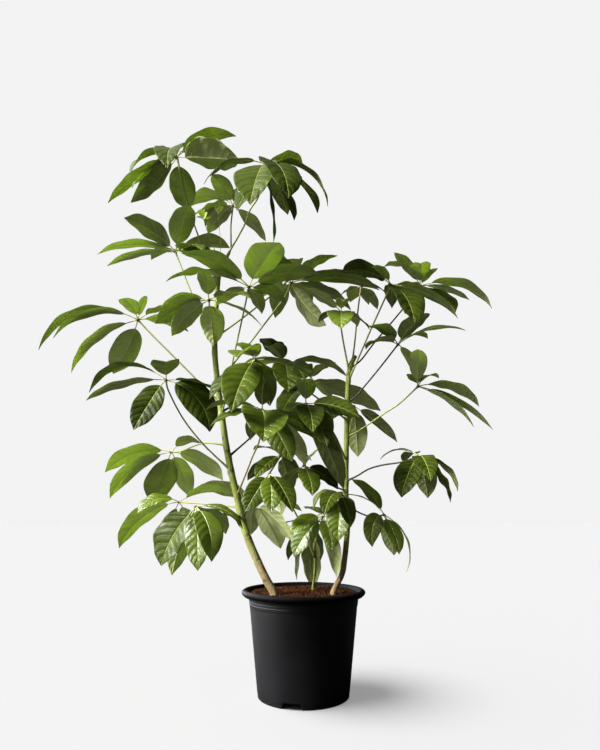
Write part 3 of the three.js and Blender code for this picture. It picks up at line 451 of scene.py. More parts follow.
def leaflet_material(name, upper, under, glow, waxy, pairs):
    """A blade's material: three colours for each face, one for the light let through, and its finish."""
    material, tree, shader = new_material(name)
    tone, face, pale = parts_of(tree, mesh_field(tree, "look"))
    is_upper = math_of(tree, "GREATER_THAN", face, 0.0)
    lines = use_group(tree, veins, {"Blade": mesh_field(tree, "blade"), "Pairs": pairs, "Shift": tone})
    marks = use_group(tree, mottle, {"Cloud Scale": 22.0, "Grain Scale": 420.0, "Contrast": 2.2})
    # How pale a place is: the mottle, and the leaf's paleness, which is partly painted light and shade.
    paleness = scaled_onto(tree, marks["Cloud"], CLOUD_SHARE, product_of(tree, pale, LEAF_SHARE))
    fine_lines = math_of(tree, "MAXIMUM", lines["Veins"], product_of(tree, lines["Net"], NET_SHARE))
    all_lines = math_of(tree, "MAXIMUM", fine_lines, lines["Midrib"])
    above, below = (lined_face(tree, paleness, colors, product_of(tree, fine_lines, share), lines["Midrib"])
                    for colors, share in ((upper, UPPER_VEINS), (under, UNDER_VEINS)))
    worn = scaled_onto(tree, marks["Grain"], UPPER_WEAR, waxy)
    dull = scaled_onto(tree, marks["Grain"], UNDER_WEAR, UNDER_ROUGHNESS)
    rough = scaled_onto(tree, is_upper, math_of(tree, "SUBTRACT", worn, dull), dull)
    normal = bump_of(tree, blade_relief(tree, is_upper, lines, all_lines, marks["Grain"]), RELIEF_HEIGHT)
    drive(tree, shader, Base_Color=blend_of(tree, is_upper, below, above), Roughness=rough, Normal=normal)
    sheen = math_of(tree, "SUBTRACT", ramp_of(tree, paleness, *SHEEN_FROM, *UPPER_SHEEN), UNDER_SHEEN)
    drive(tree, shader, Specular_IOR_Level=scaled_onto(tree, is_upper, sheen, UNDER_SHEEN))
    lit = blend_of(tree, paleness, glow, PALE_GLOW)
    lit = blend_of(tree, product_of(tree, all_lines, LINE_SHADE), lit, LINE_GLOW)
    through = add_node(tree, "ShaderNodeBsdfTranslucent", {"Color": lit, "Normal": normal})
    both = add_node(tree, "ShaderNodeAddShader", {0: shader.outputs["BSDF"], 1: through.outputs["BSDF"]})
    tree.links.new(both.outputs["Shader"], tree.nodes["Material Output"].inputs["Surface"])
    return material


print("leaflets are finished by", leaflet_material.__name__)

# %% Leaflets and sprouts
SPROUT_VEIN_PAIRS = 5.0

leaflet_green = leaflet_material(
    "leaflet_green", upper=((0.010, 0.022, 0.0004, 1), (0.088, 0.125, 0.006, 1), (0.30, 0.34, 0.06, 1)),
    under=((0.055, 0.08, 0.004, 1), (0.45, 0.50, 0.22, 1), (0.58, 0.59, 0.24, 1)),
    glow=(0.035, 0.06, 0.001, 1), waxy=0.28, pairs=SIDE_VEIN_PAIRS)
sprout_green = leaflet_material(
    "sprout_green", upper=((0.44, 0.50, 0.13, 1), (0.54, 0.60, 0.18, 1), (0.58, 0.62, 0.26, 1)),
    under=((0.46, 0.52, 0.15, 1), (0.56, 0.62, 0.22, 1), (0.60, 0.64, 0.30, 1)),
    glow=(0.34, 0.38, 0.07, 1), waxy=0.34, pairs=SPROUT_VEIN_PAIRS)
print("leaflet materials:", leaflet_green.name, sprout_green.name)

# %% [markdown]
# ### Leaf stalks
# A leaf stalk is green to yellow-green along most of its length and turns reddish-brown where it meets the
# hub. Old leaves have stalks that are brown all over. The mesh carries the colour of each leaf's stalk,
# and the material adds a fine grain and the mottle.

# %% The stalk material
STALK_SHADE, STALK_ROUGHNESS, STALK_WEAR = 0.55, 0.32, 0.2  # the mottle's shade, and the finish
STALK_RELIEF = 0.0003  # m


def stalk_material():
    """The finish of leaf stalks and hubs, in the colour that the mesh carries."""
    material, tree, shader = new_material("leaf_stalk")
    tint = mesh_field(tree, "tint", "Color")
    marks = use_group(tree, mottle, {"Cloud Scale": 60.0, "Grain Scale": 900.0, "Contrast": 2.0})
    darker = add_node(tree, "ShaderNodeHueSaturation", {"Value": 0.72, "Saturation": 1.05, "Color": tint})
    color = blend_of(tree, product_of(tree, marks["Cloud"], STALK_SHADE), tint, darker.outputs["Color"])
    rough = scaled_onto(tree, marks["Grain"], STALK_WEAR, STALK_ROUGHNESS)
    drive(tree, shader, Base_Color=color, Roughness=rough,
          Normal=bump_of(tree, marks["Grain"], STALK_RELIEF))
    return material


leaf_stalk = stalk_material()
print("stalk material:", leaf_stalk.name)

# %% [markdown]
# ## Where everything grows
# The list below was read from the photograph. Each stem is a line of picture places from the soil
# up, with its depth in mm at the foot and at the top. Each leaf names its stem and the row where it leaves
# it, the places that its stalk passes, its hub and the hub's depth, and the usual length of its leaflets. A
# leaflet is its tip's column and row, its lean, which is -1 for straight at the viewer and 1 for straight
# away, its tilt in degrees, its fullness and how strongly it arches. The last four may be left out.

# %% Stems and leaves as they were read
STEMS = {
    "left_trunk": {
        "line": [(274, 595), (266.5, 580), (257, 560), (248.6, 540), (242, 520), (237.8, 500), (228.8, 460),
                 (222.5, 420), (216.2, 370), (214.7, 340), (216.3, 305), (219.5, 263)],
        "depth": (-46, -20), "radius": (9, 5)},
    "right_trunk": {
        "line": [(333, 594.5), (342, 574), (344.4, 560), (346.6, 540), (347.6, 520), (346, 500),
                 (346.5, 440), (347.3, 400), (349.5, 370), (355, 356)],
        "depth": (-39, -30), "radius": (6.2, 5)},
    "young_shoot": {
        "line": [(313, 590), (314.6, 574), (315, 560), (314, 543)],
        "depth": (34, 20), "radius": (3.1, 2.6)},
}
LEAVES = [
    ("left_leaf_01", "left_trunk", 283, [(207, 260), (199, 238), (188, 205)],
     (177, 157), -25, 150, [(236.5, 136.3, 0.35, -14, 0.8, 1.7), (215, 152, 1),
         (240, 161, -0.8, -25, 1.35, 0.1), (167, 168, -1, 0, 1.1, 1.8), (129, 173, -0.8, 10, 1, 1.8),
         (107.5, 203, 0, 8, 0.9, 0.6), (131, 187, -0.5, 20, 0.9), (130, 202, 0.9, 0, 1.35, -0.8),
         (186.5, 209, 1, 0, 1.3, -1.4)]),
    ("left_leaf_02", "left_trunk", 269, [(243, 228), (250, 210), (259, 195)],
     (265, 164), -120, 148, [(203, 184, -0.3, 20, 1, 2), (250, 204, -1, 0, 1.5, 1.3),
         (289, 198, -1, 0, 1.35, 1.5), (318, 213, -0.3, 20, 1.3, 2.2), (328.5, 206.5, 0.4, 10, 0.8, 3),
         (295, 220, -0.6, 0, 0.9), (303, 165, 0.8, 0, 0.7), (288, 215, 1, 0, 1),
         (275, 243, 0.8, 0, 0.8), (237, 211, -0.8, 0, 0.9)]),
    ("left_leaf_03", "left_trunk", 275, [(230, 252), (231, 240), (231, 225)],
     (233, 206), 150, 138, [(187, 208, 0.6, 0, 1.3, 2), (193, 216, -0.7, 0, 0.9), (205, 226, 1, 0),
         (212, 173, -0.9, 0, 1.2), (266.5, 241, 0.7, 0, 1.1), (207.5, 234, 1, 0, 0.9),
         (242, 188, -0.6, 0, 0.8)]),
    ("left_leaf_04", "left_trunk", 352, [(207, 330), (195, 302), (183, 272)],
     (175.5, 252), 0, 148, [(97, 254, 0, 0, 0.85, 1.2), (107, 266, 0.5, 5, 0.6, 0.6),
         (151, 260, 1, 0, 0.7), (124, 217, -0.7, -25, 1.1), (190, 205, -1, 0, 1.1),
         (210, 268, -0.7, 45, 1.2), (203, 251, -0.6, 15, 1), (230, 247, 0.5, -5)]),
    ("left_leaf_05", "left_trunk", 415, [(226, 395), (233, 360), (243, 315)],
     (249, 287), -95, 152, [(165, 280, 0, 8, 1.1, 1.2), (181, 252, -0.3, -12, 1),
         (280, 242, -1, 0, 1.4), (320, 273, 0.3, -12, 1), (285, 303, 0.8, 0, 0.9), (262, 314, 0.8),
         (216, 306, 0.7)]),
    ("left_leaf_06", "left_trunk", 383, [(246, 348), (263, 326), (284, 298)],
     (291, 283), 5, 150, [(380, 290, 0, -8, 0.8), (262, 253, -0.9, 0, 1.1), (338, 255, -0.7, -8, 0.75),
         (309, 310, 1), (352, 310, 0.7), (271, 308, 0.9), (326.7, 325, -0.3, -35, 1.3, -1)]),
    ("left_leaf_07", "left_trunk", 338, [(240, 320), (262, 303), (277, 291)],
     (287, 281), 160, 140, [(313, 313, 0.8), (332, 291, -0.5, 15), (252, 300, 0.7), (270, 262, -0.6),
         (300, 258, -0.8), (275, 318, 0.8)]),
    ("left_leaf_08", "left_trunk", 347, [(211, 330), (210, 315)],
     (209, 300), -170, 112, [(160, 308, 0, -10, 0.9), (155, 324, 0.2, -35), (171, 336, -0.1, -45),
         (213.5, 346, 0.9, 0, 1.35), (202, 270, -0.9, 0, 1), (262, 325, -0.2, 10, 1),
         (250, 298, -0.7, 20, 1)]),
    ("left_leaf_09", "left_trunk", 402, [(209, 392), (188, 371), (169, 352), (150, 333)],
     (138, 320), -55, 150, [(37, 350, 0, -2, 0.75, 2.4), (52, 338, 0.4, 5, 0.7, 2.2),
         (71, 373, 0.3, -6, 0.8, 1.6), (113, 373.5, 0.8, 0, 1.2, -1), (122, 299, -0.9, 0, 0.7),
         (146, 295, -0.9, 0, 0.5), (195, 322, -0.4, 20, 1, 1.8), (189, 331, 0.6, 0, 0.9)]),
    ("left_leaf_10", "left_trunk", 412, [(240, 401), (258, 386), (274, 373)],
     (285, 363), 25, 140, [(261, 337, -0.8, 0, 1.2), (267, 346, -0.8, 0, 1), (304, 380, -0.9, 0, 1.3),
         (347.5, 377, 0.1, -6, 0.9, 1.2), (262, 394, 0.8), (238, 373, 0.4), (288, 392, -0.8, 0, 1.3)]),
    ("left_leaf_11", "left_trunk", 471, [(205, 446), (184, 420), (169, 392)],
     (166, 380), -115, 140, [(133.5, 430, -0.6, 60, 1.1), (210, 432, -0.4, 52, 1.2, 3),
         (167, 362, -0.85, 0, 1.15), (229, 399, 0.2, 10, 0.8), (88, 392.5, 0, 0, 0.8, 2.6),
         (85, 399.5, 0.3, 0, 0.65, 0.8)]),
    ("left_leaf_12", "left_trunk", 457, [(249, 439), (268, 421), (290, 399)],
     (308, 381), 110, 150, [(381, 411, 0, -20, 1.1, 0.5), (331, 398, 0.9), (280, 417, -0.5, 20, 1.1),
         (352, 393, 0.7), (336, 362, -0.7)]),
    ("left_leaf_13", "left_trunk", 496, [(245, 476), (252, 458), (260, 438)],
     (262, 410), -200, 135, [(263.5, 441.5, -1, 0, 1.5), (209.5, 425, -0.3, 25, 0.75),
         (205, 409, 0.4, -6, 0.9), (341, 453, 0, 42, 0.9), (292, 462, -0.3, 60, 1.1),
         (306, 466, 0.5, -20, 1), (250, 440, 0.8, 0, 0.8), (266, 378, -0.5)]),
    ("left_leaf_14", "left_trunk", 445, [(206, 443), (194, 446), (182, 451)],
     (171.5, 452), 115, 150, [(104.5, 472, 0, -28, 1.15, 1.5), (109.5, 498.5, 0.3, -30, 1.05, 1.7),
         (155, 505, 0.9, 0, 1.6), (189, 497, 1, 0, 1), (223.5, 480.5, 0.6, -35, 1.15, 1.3),
         (208, 450, -0.5, -25, 0.8, 2.2)]),
    ("left_leaf_15", "left_trunk", 507, [(225, 506), (200, 503.5)],
     (179, 502), 80, 150, [(137, 513.5, -0.5, 38, 1.1, 2.2), (119, 548.5, 0.2, -32, 1.2, 2),
         (233, 496, 0.8, -30, 1.2, 1.2), (200, 545, 0.8), (156, 548, 0.8, 0, 0.7, 0)]),
    ("left_leaf_16", "left_trunk", 517, [(228, 515), (212, 511)],
     (196, 507), -215, 125, [(161, 566, -0.4, 55, 1.4, 1.5), (171.5, 575, 0.2, -65, 0.8, 1.2),
         (197.5, 571, -0.6, 0, 0.95, 1.5), (211.5, 562, -0.7, 0, 1.1, 4.5),
         (243.5, 529, -0.2, 15, 0.8, 2), (226, 534, 0.9, 0, 1)]),
    ("left_leaf_17", "left_trunk", 520, [(250, 503), (258, 488), (269, 474)],
     (281, 455), -80, 118, [(278, 434, -0.9, 0, 1), (255, 478, -0.6, 40, 1), (253, 449, 0.7, 0, 0.8),
         (298, 478, 0.6), (312, 460, 0.3), (291, 492, 0.9), (247, 480, 0.5, -30, 0.9)]),
    ("left_leaf_18", "left_trunk", 513, [(247, 508)],
     (254, 503), 175, 142, [(197, 489, 0.1, -38, 1.1), (241, 529, 0.8), (251.5, 534.5, 1),
         (281, 548.5, 0.6, -45, 1.35), (294, 543, 0.6, -40, 1.1), (302, 511, 0.5, -25, 1)]),
    ("right_leaf_01", "right_trunk", 363, [(355, 340), (358, 310)],
     (361, 287), 55, 112, [(350, 302, 1), (369, 304, 0.9), (378, 309, 0.9), (386, 292, -0.6),
         (337, 298, -0.5, 10), (325, 272, 0.2, -8, 0.9), (362, 265, -0.8)]),
    ("right_leaf_02", "right_trunk", 373, [(343, 340), (341, 325)],
     (341, 312), -80, 100, [(302, 288, -0.4, -10, 0.9), (341, 329, -1, 0, 1.2, 1.3),
         (370.5, 329, -0.4), (358, 326, 0.8), (344, 300, -0.9, 0, 0.8), (318, 322, 0.7)]),
    ("right_leaf_03", "right_trunk", 380, [(359, 357), (372, 327), (382, 305)],
     (391, 285), -95, 148, [(342, 273, -0.5, 74, 1.3, 1.4), (392, 308, 0.9, 0, 0.65),
         (414.5, 323, -0.9, 0, 1.3, 1.4), (459, 318, 0, 5, 0.85, 1.2), (371, 266, -0.6, 0, 0.5),
         (424, 300, 0.7)]),
    ("right_leaf_04", "right_trunk", 368, [(361, 360), (375, 342), (402, 310)],
     (420, 286), 45, 148, [(384, 266, 0.6, -20, 0.8, 2.2), (394, 252, -0.7, 0, 0.7),
         (421, 263, -0.9, 0, 0.9), (493, 308, 0, 2, 0.9, 1.8), (470, 300, 0.5, 0, 0.5),
         (456, 312, -0.7, 15, 1.1), (405, 314, 0.9), (438, 268, -0.4, -10, 0.8)]),
    ("right_leaf_05", "right_trunk", 402, [(356, 396), (378, 370)],
     (398, 344.5), -55, 148, [(369, 327, -0.8, -10, 0.65), (365, 348, -0.6, 0, 0.9),
         (429, 312, -0.8, 10, 1.2), (466, 330, 0, 4, 0.85, 1.2), (428, 338, 0.8, 0, 0.6),
         (418, 379, 0.9, 0, 0.45)]),
    ("right_leaf_06", "right_trunk", 437, [(360, 430), (385, 413), (400, 403)],
     (418, 386.5), -60, 148, [(417.5, 348.5, -0.9, 0, 0.75), (411, 374, 1, 0, 0.9),
         (439, 378, 0.9, 0, 0.5), (480, 406, 0.2, -4, 0.8, 1.6), (493, 430, 0, -4, 0.7),
         (474, 427, 0.4, 0, 0.85)]),
    ("right_leaf_07", "right_trunk", 420, [(336, 412), (309, 392), (280, 374)],
     (255, 360), -200, 135, [(237, 357, -1, 0, 1), (236, 343, -0.6, 0, 0.8), (314, 380, -0.2, 12, 0.9),
         (209, 399, -0.4, 32, 1.1), (231, 412, -0.5, 45, 1.2), (270, 406, 0.7, -40, 1.1),
         (258, 342, -0.6)]),
    ("right_leaf_08", "right_trunk", 443, [(351, 426)],
     (354, 406), 200, 145, [(398, 442, 0.4, -20, 1, 0.4), (358, 457, 0.7, 0, 1.1), (329, 421, 0.7),
         (324, 402, 0.3)]),
    ("right_leaf_09", "right_trunk", 461, [(333, 432), (315, 414)],
     (306, 404), -190, 128, [(327, 446, -0.6, 55, 1.2), (313, 432, -0.9), (288, 417, 0.8, 0, 0.8),
         (360, 418, -0.3, 45, 1.1), (303, 378, -0.7), (290, 440, 0.5), (344, 489, 0.3, -30, 0.85)]),
    ("right_leaf_10", "right_trunk", 481, [(357, 476), (369, 469), (383, 465), (402, 462)],
     (418, 456), -115, 128, [(380, 459.5, 0.5, 8, 0.7, 2), (401.5, 497.5, -0.6, 30, 1.25, 1.3),
         (431, 481, -1, 0, 0.9, 1.3), (428, 498, 0.8, 0, 1.1), (452, 502.5, -0.4, 15, 1.25, 1.8),
         (459, 491.5, 0.3, 5, 0.7, 2.4), (403, 462, 0.9, 0, 0.8)]),
    ("right_leaf_11", "right_trunk", 491, [(334, 486), (320, 476.5)],
     (304, 466), -130, 128, [(289, 436, -0.35, 0, 1.35), (313, 495, -0.8, 0, 1.2),
         (339, 489, -0.3, 55, 1.15), (322, 447, -0.7), (284, 489, 0.6)]),
    ("right_leaf_12", "right_trunk", 498, [(344, 496.5)],
     (341, 495), -225, 105, [(313, 510, -0.3, 10, 1, 4), (324, 516, -0.8, 0, 0.9, 2),
         (338, 541, -0.5, 10, 1.3, 1.3), (351, 527, -0.6, 10, 1, 1.4), (381, 511, 0, 0, 0.6, 1.6),
         (352, 514, 0.8)]),
    ("right_leaf_13", "right_trunk", 505, [(360, 513), (373, 517)],
     (384, 515), -110, 122, [(372.5, 547.5, -0.3, 60, 1.3, 9), (394, 555.5, 0.8, 0, 1),
         (400, 554, -0.6, 0, 1, 1.2), (406.5, 572.5, 0, 0, 0.55, 6.5), (352, 478, 0.4, 15, 1.05)]),
    ("right_leaf_14", "right_trunk", 512, [(326, 512)],
     (306, 521), 225, 150, [(313, 590, 0.3, -20, 1.1), (296, 580.5, 0.5, 10, 0.75),
         (287.5, 560, 0.7, 0, 0.7), (321, 560, 0.6, 0, 0.8), (276, 528, 0.2), (334, 530, -0.4)]),
    ("shoot_leaf_01", "young_shoot", 548, [(316.5, 538), (319, 528)],
     (323, 517), -55, 112, [(294, 557, -0.4, 50, 1.15, 1.4), (290, 534, -0.5, 45, 1.1, 1.3),
         (306, 508, 0.9, 0, 0.9), (332, 551, -0.7, 0, 1.1, 1.3), (337, 577, 0.1, -50, 1.05, 1.2),
         (347, 520, 0.7)]),
    ("shoot_leaf_02", "young_shoot", 557, [(296, 514), (283, 495)],
     (269.5, 474), -130, 112, [(271, 512, -0.7, 0, 1.15, 1.3), (282, 515, 0.4, 0, 1),
         (293, 512, -0.5, 10, 1, 1.5), (245, 512, -0.4, 75, 1.2, 1.3)]),
    ("left_sprout_01", "left_trunk", 264, [(220.5, 244), (219.5, 228)],
     (219, 215), -40, 24, [(214, 207, -0.5), (218, 203.5, 0.3, 0, 0.8), (223, 206, 0.5)]),
    ("left_sprout_02", "left_trunk", 265, [(213, 245), (207, 230)],
     (204, 220), -75, 30, [(196, 217, 0.3), (200, 210, -0.5), (207, 211, 0.6), (211, 217, -0.3)]),
]
LEAF_FIELDS = ("name", "stem", "node", "stalk", "hub", "depth", "length", "leaflets")
LEAVES = [dict(zip(LEAF_FIELDS, row)) for row in LEAVES]
leaflet_count = sum(len(leaf["leaflets"]) for leaf in LEAVES)
print("stems:", len(STEMS), "leaves:", len(LEAVES), "leaflets:", leaflet_count)

# %% [markdown]
# A stem or a stalk is a smooth curve through its few points. The kind used here passes through every point,
# so what was read from the picture stays where it was read.

# %% Smooth curves
def points_along(points, count):
    """count + 1 places on a smooth curve through the points, evenly spread over its spans."""
    points = np.asarray(points, float)
    padded = np.vstack([2 * points[0] - points[1], points, 2 * points[-1] - points[-2]])
    place = np.arange(count + 1) / count * (len(points) - 1)
    span = np.minimum(place.astype(int), len(points) - 2)
    t = (place - span)[:, None]
    a, b, c, d = (padded[span + i] for i in range(4))
    return 0.5 * (2 * b + (c - a) * t + (2 * a - 5 * b + 4 * c - d) * t * t
                  + (3 * b - a - 3 * c + d) * t * t * t)


def stem_points(stem):
    """The stem's centre line, with its depth changing evenly from the soil to the top."""
    line, (foot, top) = stem["line"], stem["depth"]
    low, high = line[0][1], line[-1][1]
    return np.array([seen_at(column, row, foot + (top - foot) * (low - row) / (low - high))
                     for column, row in line])


def stem_at_row(stem, row):
    """The place on a stem's centre line that shows at a row of the picture."""
    line, points = stem["line"], stem_points(stem)
    above = max(1, next(i for i, place in enumerate(line) if place[1] <= row))
    share = (line[above - 1][1] - row) / (line[above - 1][1] - line[above][1])
    return points[above - 1] + (points[above] - points[above - 1]) * share


def stalk_points(leaf):
    """A leaf stalk's points from its stem's centre line to the hub."""
    start = stem_at_row(STEMS[leaf["stem"]], leaf["node"])
    turns = len(leaf["stalk"]) + 1
    passed = [seen_at(*place, start[1] + (leaf["depth"] - start[1]) * (i + 1) / turns)
              for i, place in enumerate(leaf["stalk"])]
    return np.array([start, *passed, seen_at(*leaf["hub"], leaf["depth"])])


print("longest stalk:", round(max(np.linalg.norm(np.diff(stalk_points(leaf), axis=0), axis=1).sum()
                                  for leaf in LEAVES)), "mm")

# %% [markdown]
# ## How a leaflet hangs
# A leaflet's midrib is a curve with four guide points: it leaves the hub, arches up over its middle and
# comes down to its tip. Its blade lies level across the midrib, unless the leaflet is tilted. The usual
# length and the tip's place in the picture leave only the depth of the tip to find, and the lean says which
# way it goes.

# %% The midrib
ARCH = 0.13  # how far the guide points stand off the chord, over its length
RISE_SHARE = 0.28  # where they stand, from either end
STRAIGHTENED = 0.8  # of its arch, how much a leaflet loses that hangs straight down
OUTWARD_SHARE = 0.08  # how much a hanging leaflet still faces away from its trunk


def fields_of(leaflet):
    """Column, row, lean, tilt, fullness and arch, with the usual value for what is left out."""
    usual = (0, 0, 0, 0, 1, 1)
    return tuple(leaflet) + usual[len(leaflet):]


def leaflet_spine(leaf, leaflet, nudge):
    """The guide points of a midrib, the level way across it and its length."""
    column, row, lean, _, _, arch = fields_of(leaflet)
    hub = seen_at(*leaf["hub"], leaf["depth"])
    flat = np.linalg.norm(seen_at(column, row, leaf["depth"]) - hub)
    reach = math.sqrt(max(0.0, leaf["length"] ** 2 - flat ** 2))
    tip = seen_at(column, row, leaf["depth"] + lean * reach + nudge)
    chord = tip - hub
    length = np.linalg.norm(chord)
    outward = hub - stem_at_row(STEMS[leaf["stem"]], leaf["node"])
    outward[2] = 0
    level = chord * (1, 1, 0) + unit(outward) * OUTWARD_SHARE * length
    along = chord / length
    side = np.cross(unit(level), UP)
    side = unit(side - along * (side @ along))
    bow = np.cross(side, along) * ARCH * arch * length * (1 - STRAIGHTENED * along[2] ** 2)
    guide = np.array([hub, hub + chord * RISE_SHARE + bow, hub + chord * (1 - RISE_SHARE) + bow, tip])
    return guide, side, length


print("a midrib's curve has its inner guide points at", RISE_SHARE, "and", 1 - RISE_SHARE)

# %% The blade's frame
STALK_SHARE = 0.15  # of a leaflet's whole length
SLENDERNESS = 0.46  # width of a blade over its length
LONGEST_FULL = 140.0  # mm; a leaflet longer than this gets no wider


def blade_frame(guide, side, roll, t):
    """At places t along the midrib: the points, the way across the blade and its upper face."""
    t = np.asarray(t, float)[:, None]
    s = 1 - t
    point = s ** 3 * guide[0] + 3 * s * s * t * guide[1] + 3 * s * t * t * guide[2] + t ** 3 * guide[3]
    first, second, third = np.diff(guide, axis=0)
    along = unit(s * s * first + 2 * s * t * second + t * t * third)
    level = unit(side - (along @ side)[:, None] * along)
    top = np.cross(level, along)
    across = level * math.cos(roll) + top * math.sin(roll)
    return point, across, top * math.cos(roll) - level * math.sin(roll)


def roll_of(side, leaflet, sway):
    """How far a leaflet turns about its midrib, in radians."""
    return math.radians(fields_of(leaflet)[3] * side[1] + sway)


def half_width(leaflet, length):
    """Half of a blade's greatest width in mm."""
    return 0.5 * SLENDERNESS * fields_of(leaflet)[4] * min(length, LONGEST_FULL) * (1 - STALK_SHARE)


print("a leaflet 100 mm long is", round(2 * half_width((0, 0), 100.0)), "mm wide")

# %% [markdown]
# ## Leaflets that keep clear of each other
# In a real crown the leaves grow round each other. Here each leaflet is settled in turn: points are laid
# over its blade, and it moves nearer or farther in small steps until they are clear of the stems, the
# stalks and the leaflets before it. The CAD model settles its leaflets by the same rule, so both crowns
# agree.

# %% How much room a leaflet has
CLEARANCE, SIBLING_CLEARANCE, STALK_CLEARANCE = 12.5, 9.0, 9.0  # mm
SAMPLES_ALONG = (0.25, 0.36, 0.47, 0.58, 0.69, 0.8, 0.9, 1)
SAMPLES_ACROSS = np.array((-0.9, -0.45, 0, 0.45, 0.9))
SAMPLE_WIDTHS = np.array((0.72, 0.93, 1, 0.98, 0.86, 0.64, 0.36, 0))
NUDGES = (0, -12, 12, -24, 24, -36, 36, -50, 50, -65, 65, -80, 80, -95, 95)  # mm in depth
INNER_SAMPLES = 2 * len(SAMPLES_ACROSS)  # near the hub, where siblings meet
SWAY_SEED, SWAY_STEP, SWAY_MODULUS = 4021, 16807, 2147483647


def draws(low, high):
    """An endless row of repeatable numbers, by a multiply-and-remainder rule."""
    state = SWAY_SEED
    while True:
        state = state * SWAY_STEP % SWAY_MODULUS
        yield low + (high - low) * state / SWAY_MODULUS


def blade_samples(guide, side, length, leaflet, roll):
    """Points laid over a blade, row by row from the hub to the tip."""
    point, across, _ = blade_frame(guide, side, roll, SAMPLES_ALONG)
    reach = half_width(leaflet, length) * SAMPLE_WIDTHS[:, None] * SAMPLES_ACROSS
    return (point[:, None] + across[:, None] * reach[:, :, None]).reshape(-1, 3)


def least_distance(points, others):
    """The shortest way from any of the points to any of the others."""
    gaps = points[:, None] - others[None]
    return math.sqrt((gaps * gaps).sum(2).min())


def least_room(samples, stems, own_stalk, other_stalks, earlier, siblings):
    """How much room in mm a leaflet has to spare. Below 0, it is too near something."""
    outer = samples[INNER_SAMPLES:]
    rooms = [least_distance(samples, points) - radius - STALK_CLEARANCE for radius, points in stems]
    rooms.append(least_distance(samples, other_stalks) - STALK_CLEARANCE)
    rooms.append(least_distance(outer, own_stalk) - STALK_CLEARANCE)
    if earlier:
        rooms.append(least_distance(samples, np.vstack(earlier)) - CLEARANCE)
    if siblings:
        rooms.append(least_distance(outer, np.vstack(siblings)) - SIBLING_CLEARANCE)
    return min(rooms)


print("a leaflet is laid over with", len(SAMPLES_ALONG) * len(SAMPLES_ACROSS), "points")

# %% Settling the leaflets
STALK_STEPS, STEM_STEPS = 40, 90
HUB_STEPS = 6  # of a stalk's, which are too near the hub for its own leaflets to keep clear of
SWAY = 9.0  # degrees that a leaflet may turn about its midrib by chance


def settle_leaflets():
    """Every leaf's leaflets as (guide, side, length, roll, leaflet), bent clear of what is in place."""
    sways = draws(-SWAY, SWAY)
    stalks = [points_along(stalk_points(leaf), STALK_STEPS) for leaf in LEAVES]
    stems = [(stem["radius"][0], points_along(stem_points(stem), STEM_STEPS)) for stem in STEMS.values()]
    crown, earlier = [], []
    for owner, leaf in enumerate(LEAVES):
        own_stalk = stalks[owner][:-HUB_STEPS]
        other_stalks = np.vstack(stalks[:owner] + stalks[owner + 1:])
        grown, placed, siblings = [], [], []
        for leaflet in leaf["leaflets"]:
            sway, best = next(sways), None
            for nudge in NUDGES:
                guide, side, length = leaflet_spine(leaf, leaflet, nudge)
                roll = roll_of(side, leaflet, sway)
                samples = blade_samples(guide, side, length, leaflet, roll)
                room = least_room(samples, stems, own_stalk, other_stalks, earlier, siblings)
                if best is None or room > best[0]:
                    best = room, (guide, side, length, roll, leaflet), samples
                if room >= 0:
                    break
            grown.append(best[1])
            placed.append(best[2])
            siblings.append(best[2][INNER_SAMPLES:])
        crown.append(grown)
        earlier += placed
    return crown


crown = settle_leaflets()
print("settled leaflets:", sum(len(grown) for grown in crown))

# %% [markdown]
# ## Turning points into closed meshes
# Everything that grows is a skin over a row of cross-sections: a stem, a stalk and a leaflet alike. A skin
# that is closed at both ends has an inside, which is what a slicer or a physics tool needs. Each body also
# carries numbers at its vertices, such as how far across the blade a point is, for the materials to read.

# %% Closed bodies
def loft(sections, fields):
    """A closed body over cross-sections of shape (rings, corners, 3), with vertex fields alike in shape."""
    rings, corners = sections.shape[:2]
    ends = np.array([sections[0].mean(0), sections[-1].mean(0)])
    points = np.vstack([sections.reshape(-1, 3), ends])
    carried = {name: np.vstack([field.reshape(rings * corners, -1), field[0].mean(0), field[-1].mean(0)])
               for name, field in fields.items()}
    k = np.arange(corners)
    after = (k + 1) % corners
    row = np.arange(rings - 1)[:, None] * corners
    a, b = (row + k).ravel(), (row + after).ravel()
    quads = np.stack([a, b, b + corners, a + corners], 1)
    last, centre = (rings - 1) * corners, rings * corners
    caps = np.vstack([np.stack([after, k, np.full(corners, centre)], 1),
                      np.stack([last + k, last + after, np.full(corners, centre + 1)], 1)])
    p, q, r = points[caps].transpose(1, 0, 2)
    s, t, u, v = points[quads].transpose(1, 0, 2)
    volume = (p * np.cross(q, r)).sum() + (s * np.cross(t, u)).sum() + (s * np.cross(u, v)).sum()
    if volume < 0:
        quads, caps = quads[:, ::-1], caps[:, ::-1]
    return {"points": points, "quads": quads, "caps": caps, "fields": carried}


print("closed bodies are made by", loft.__name__)

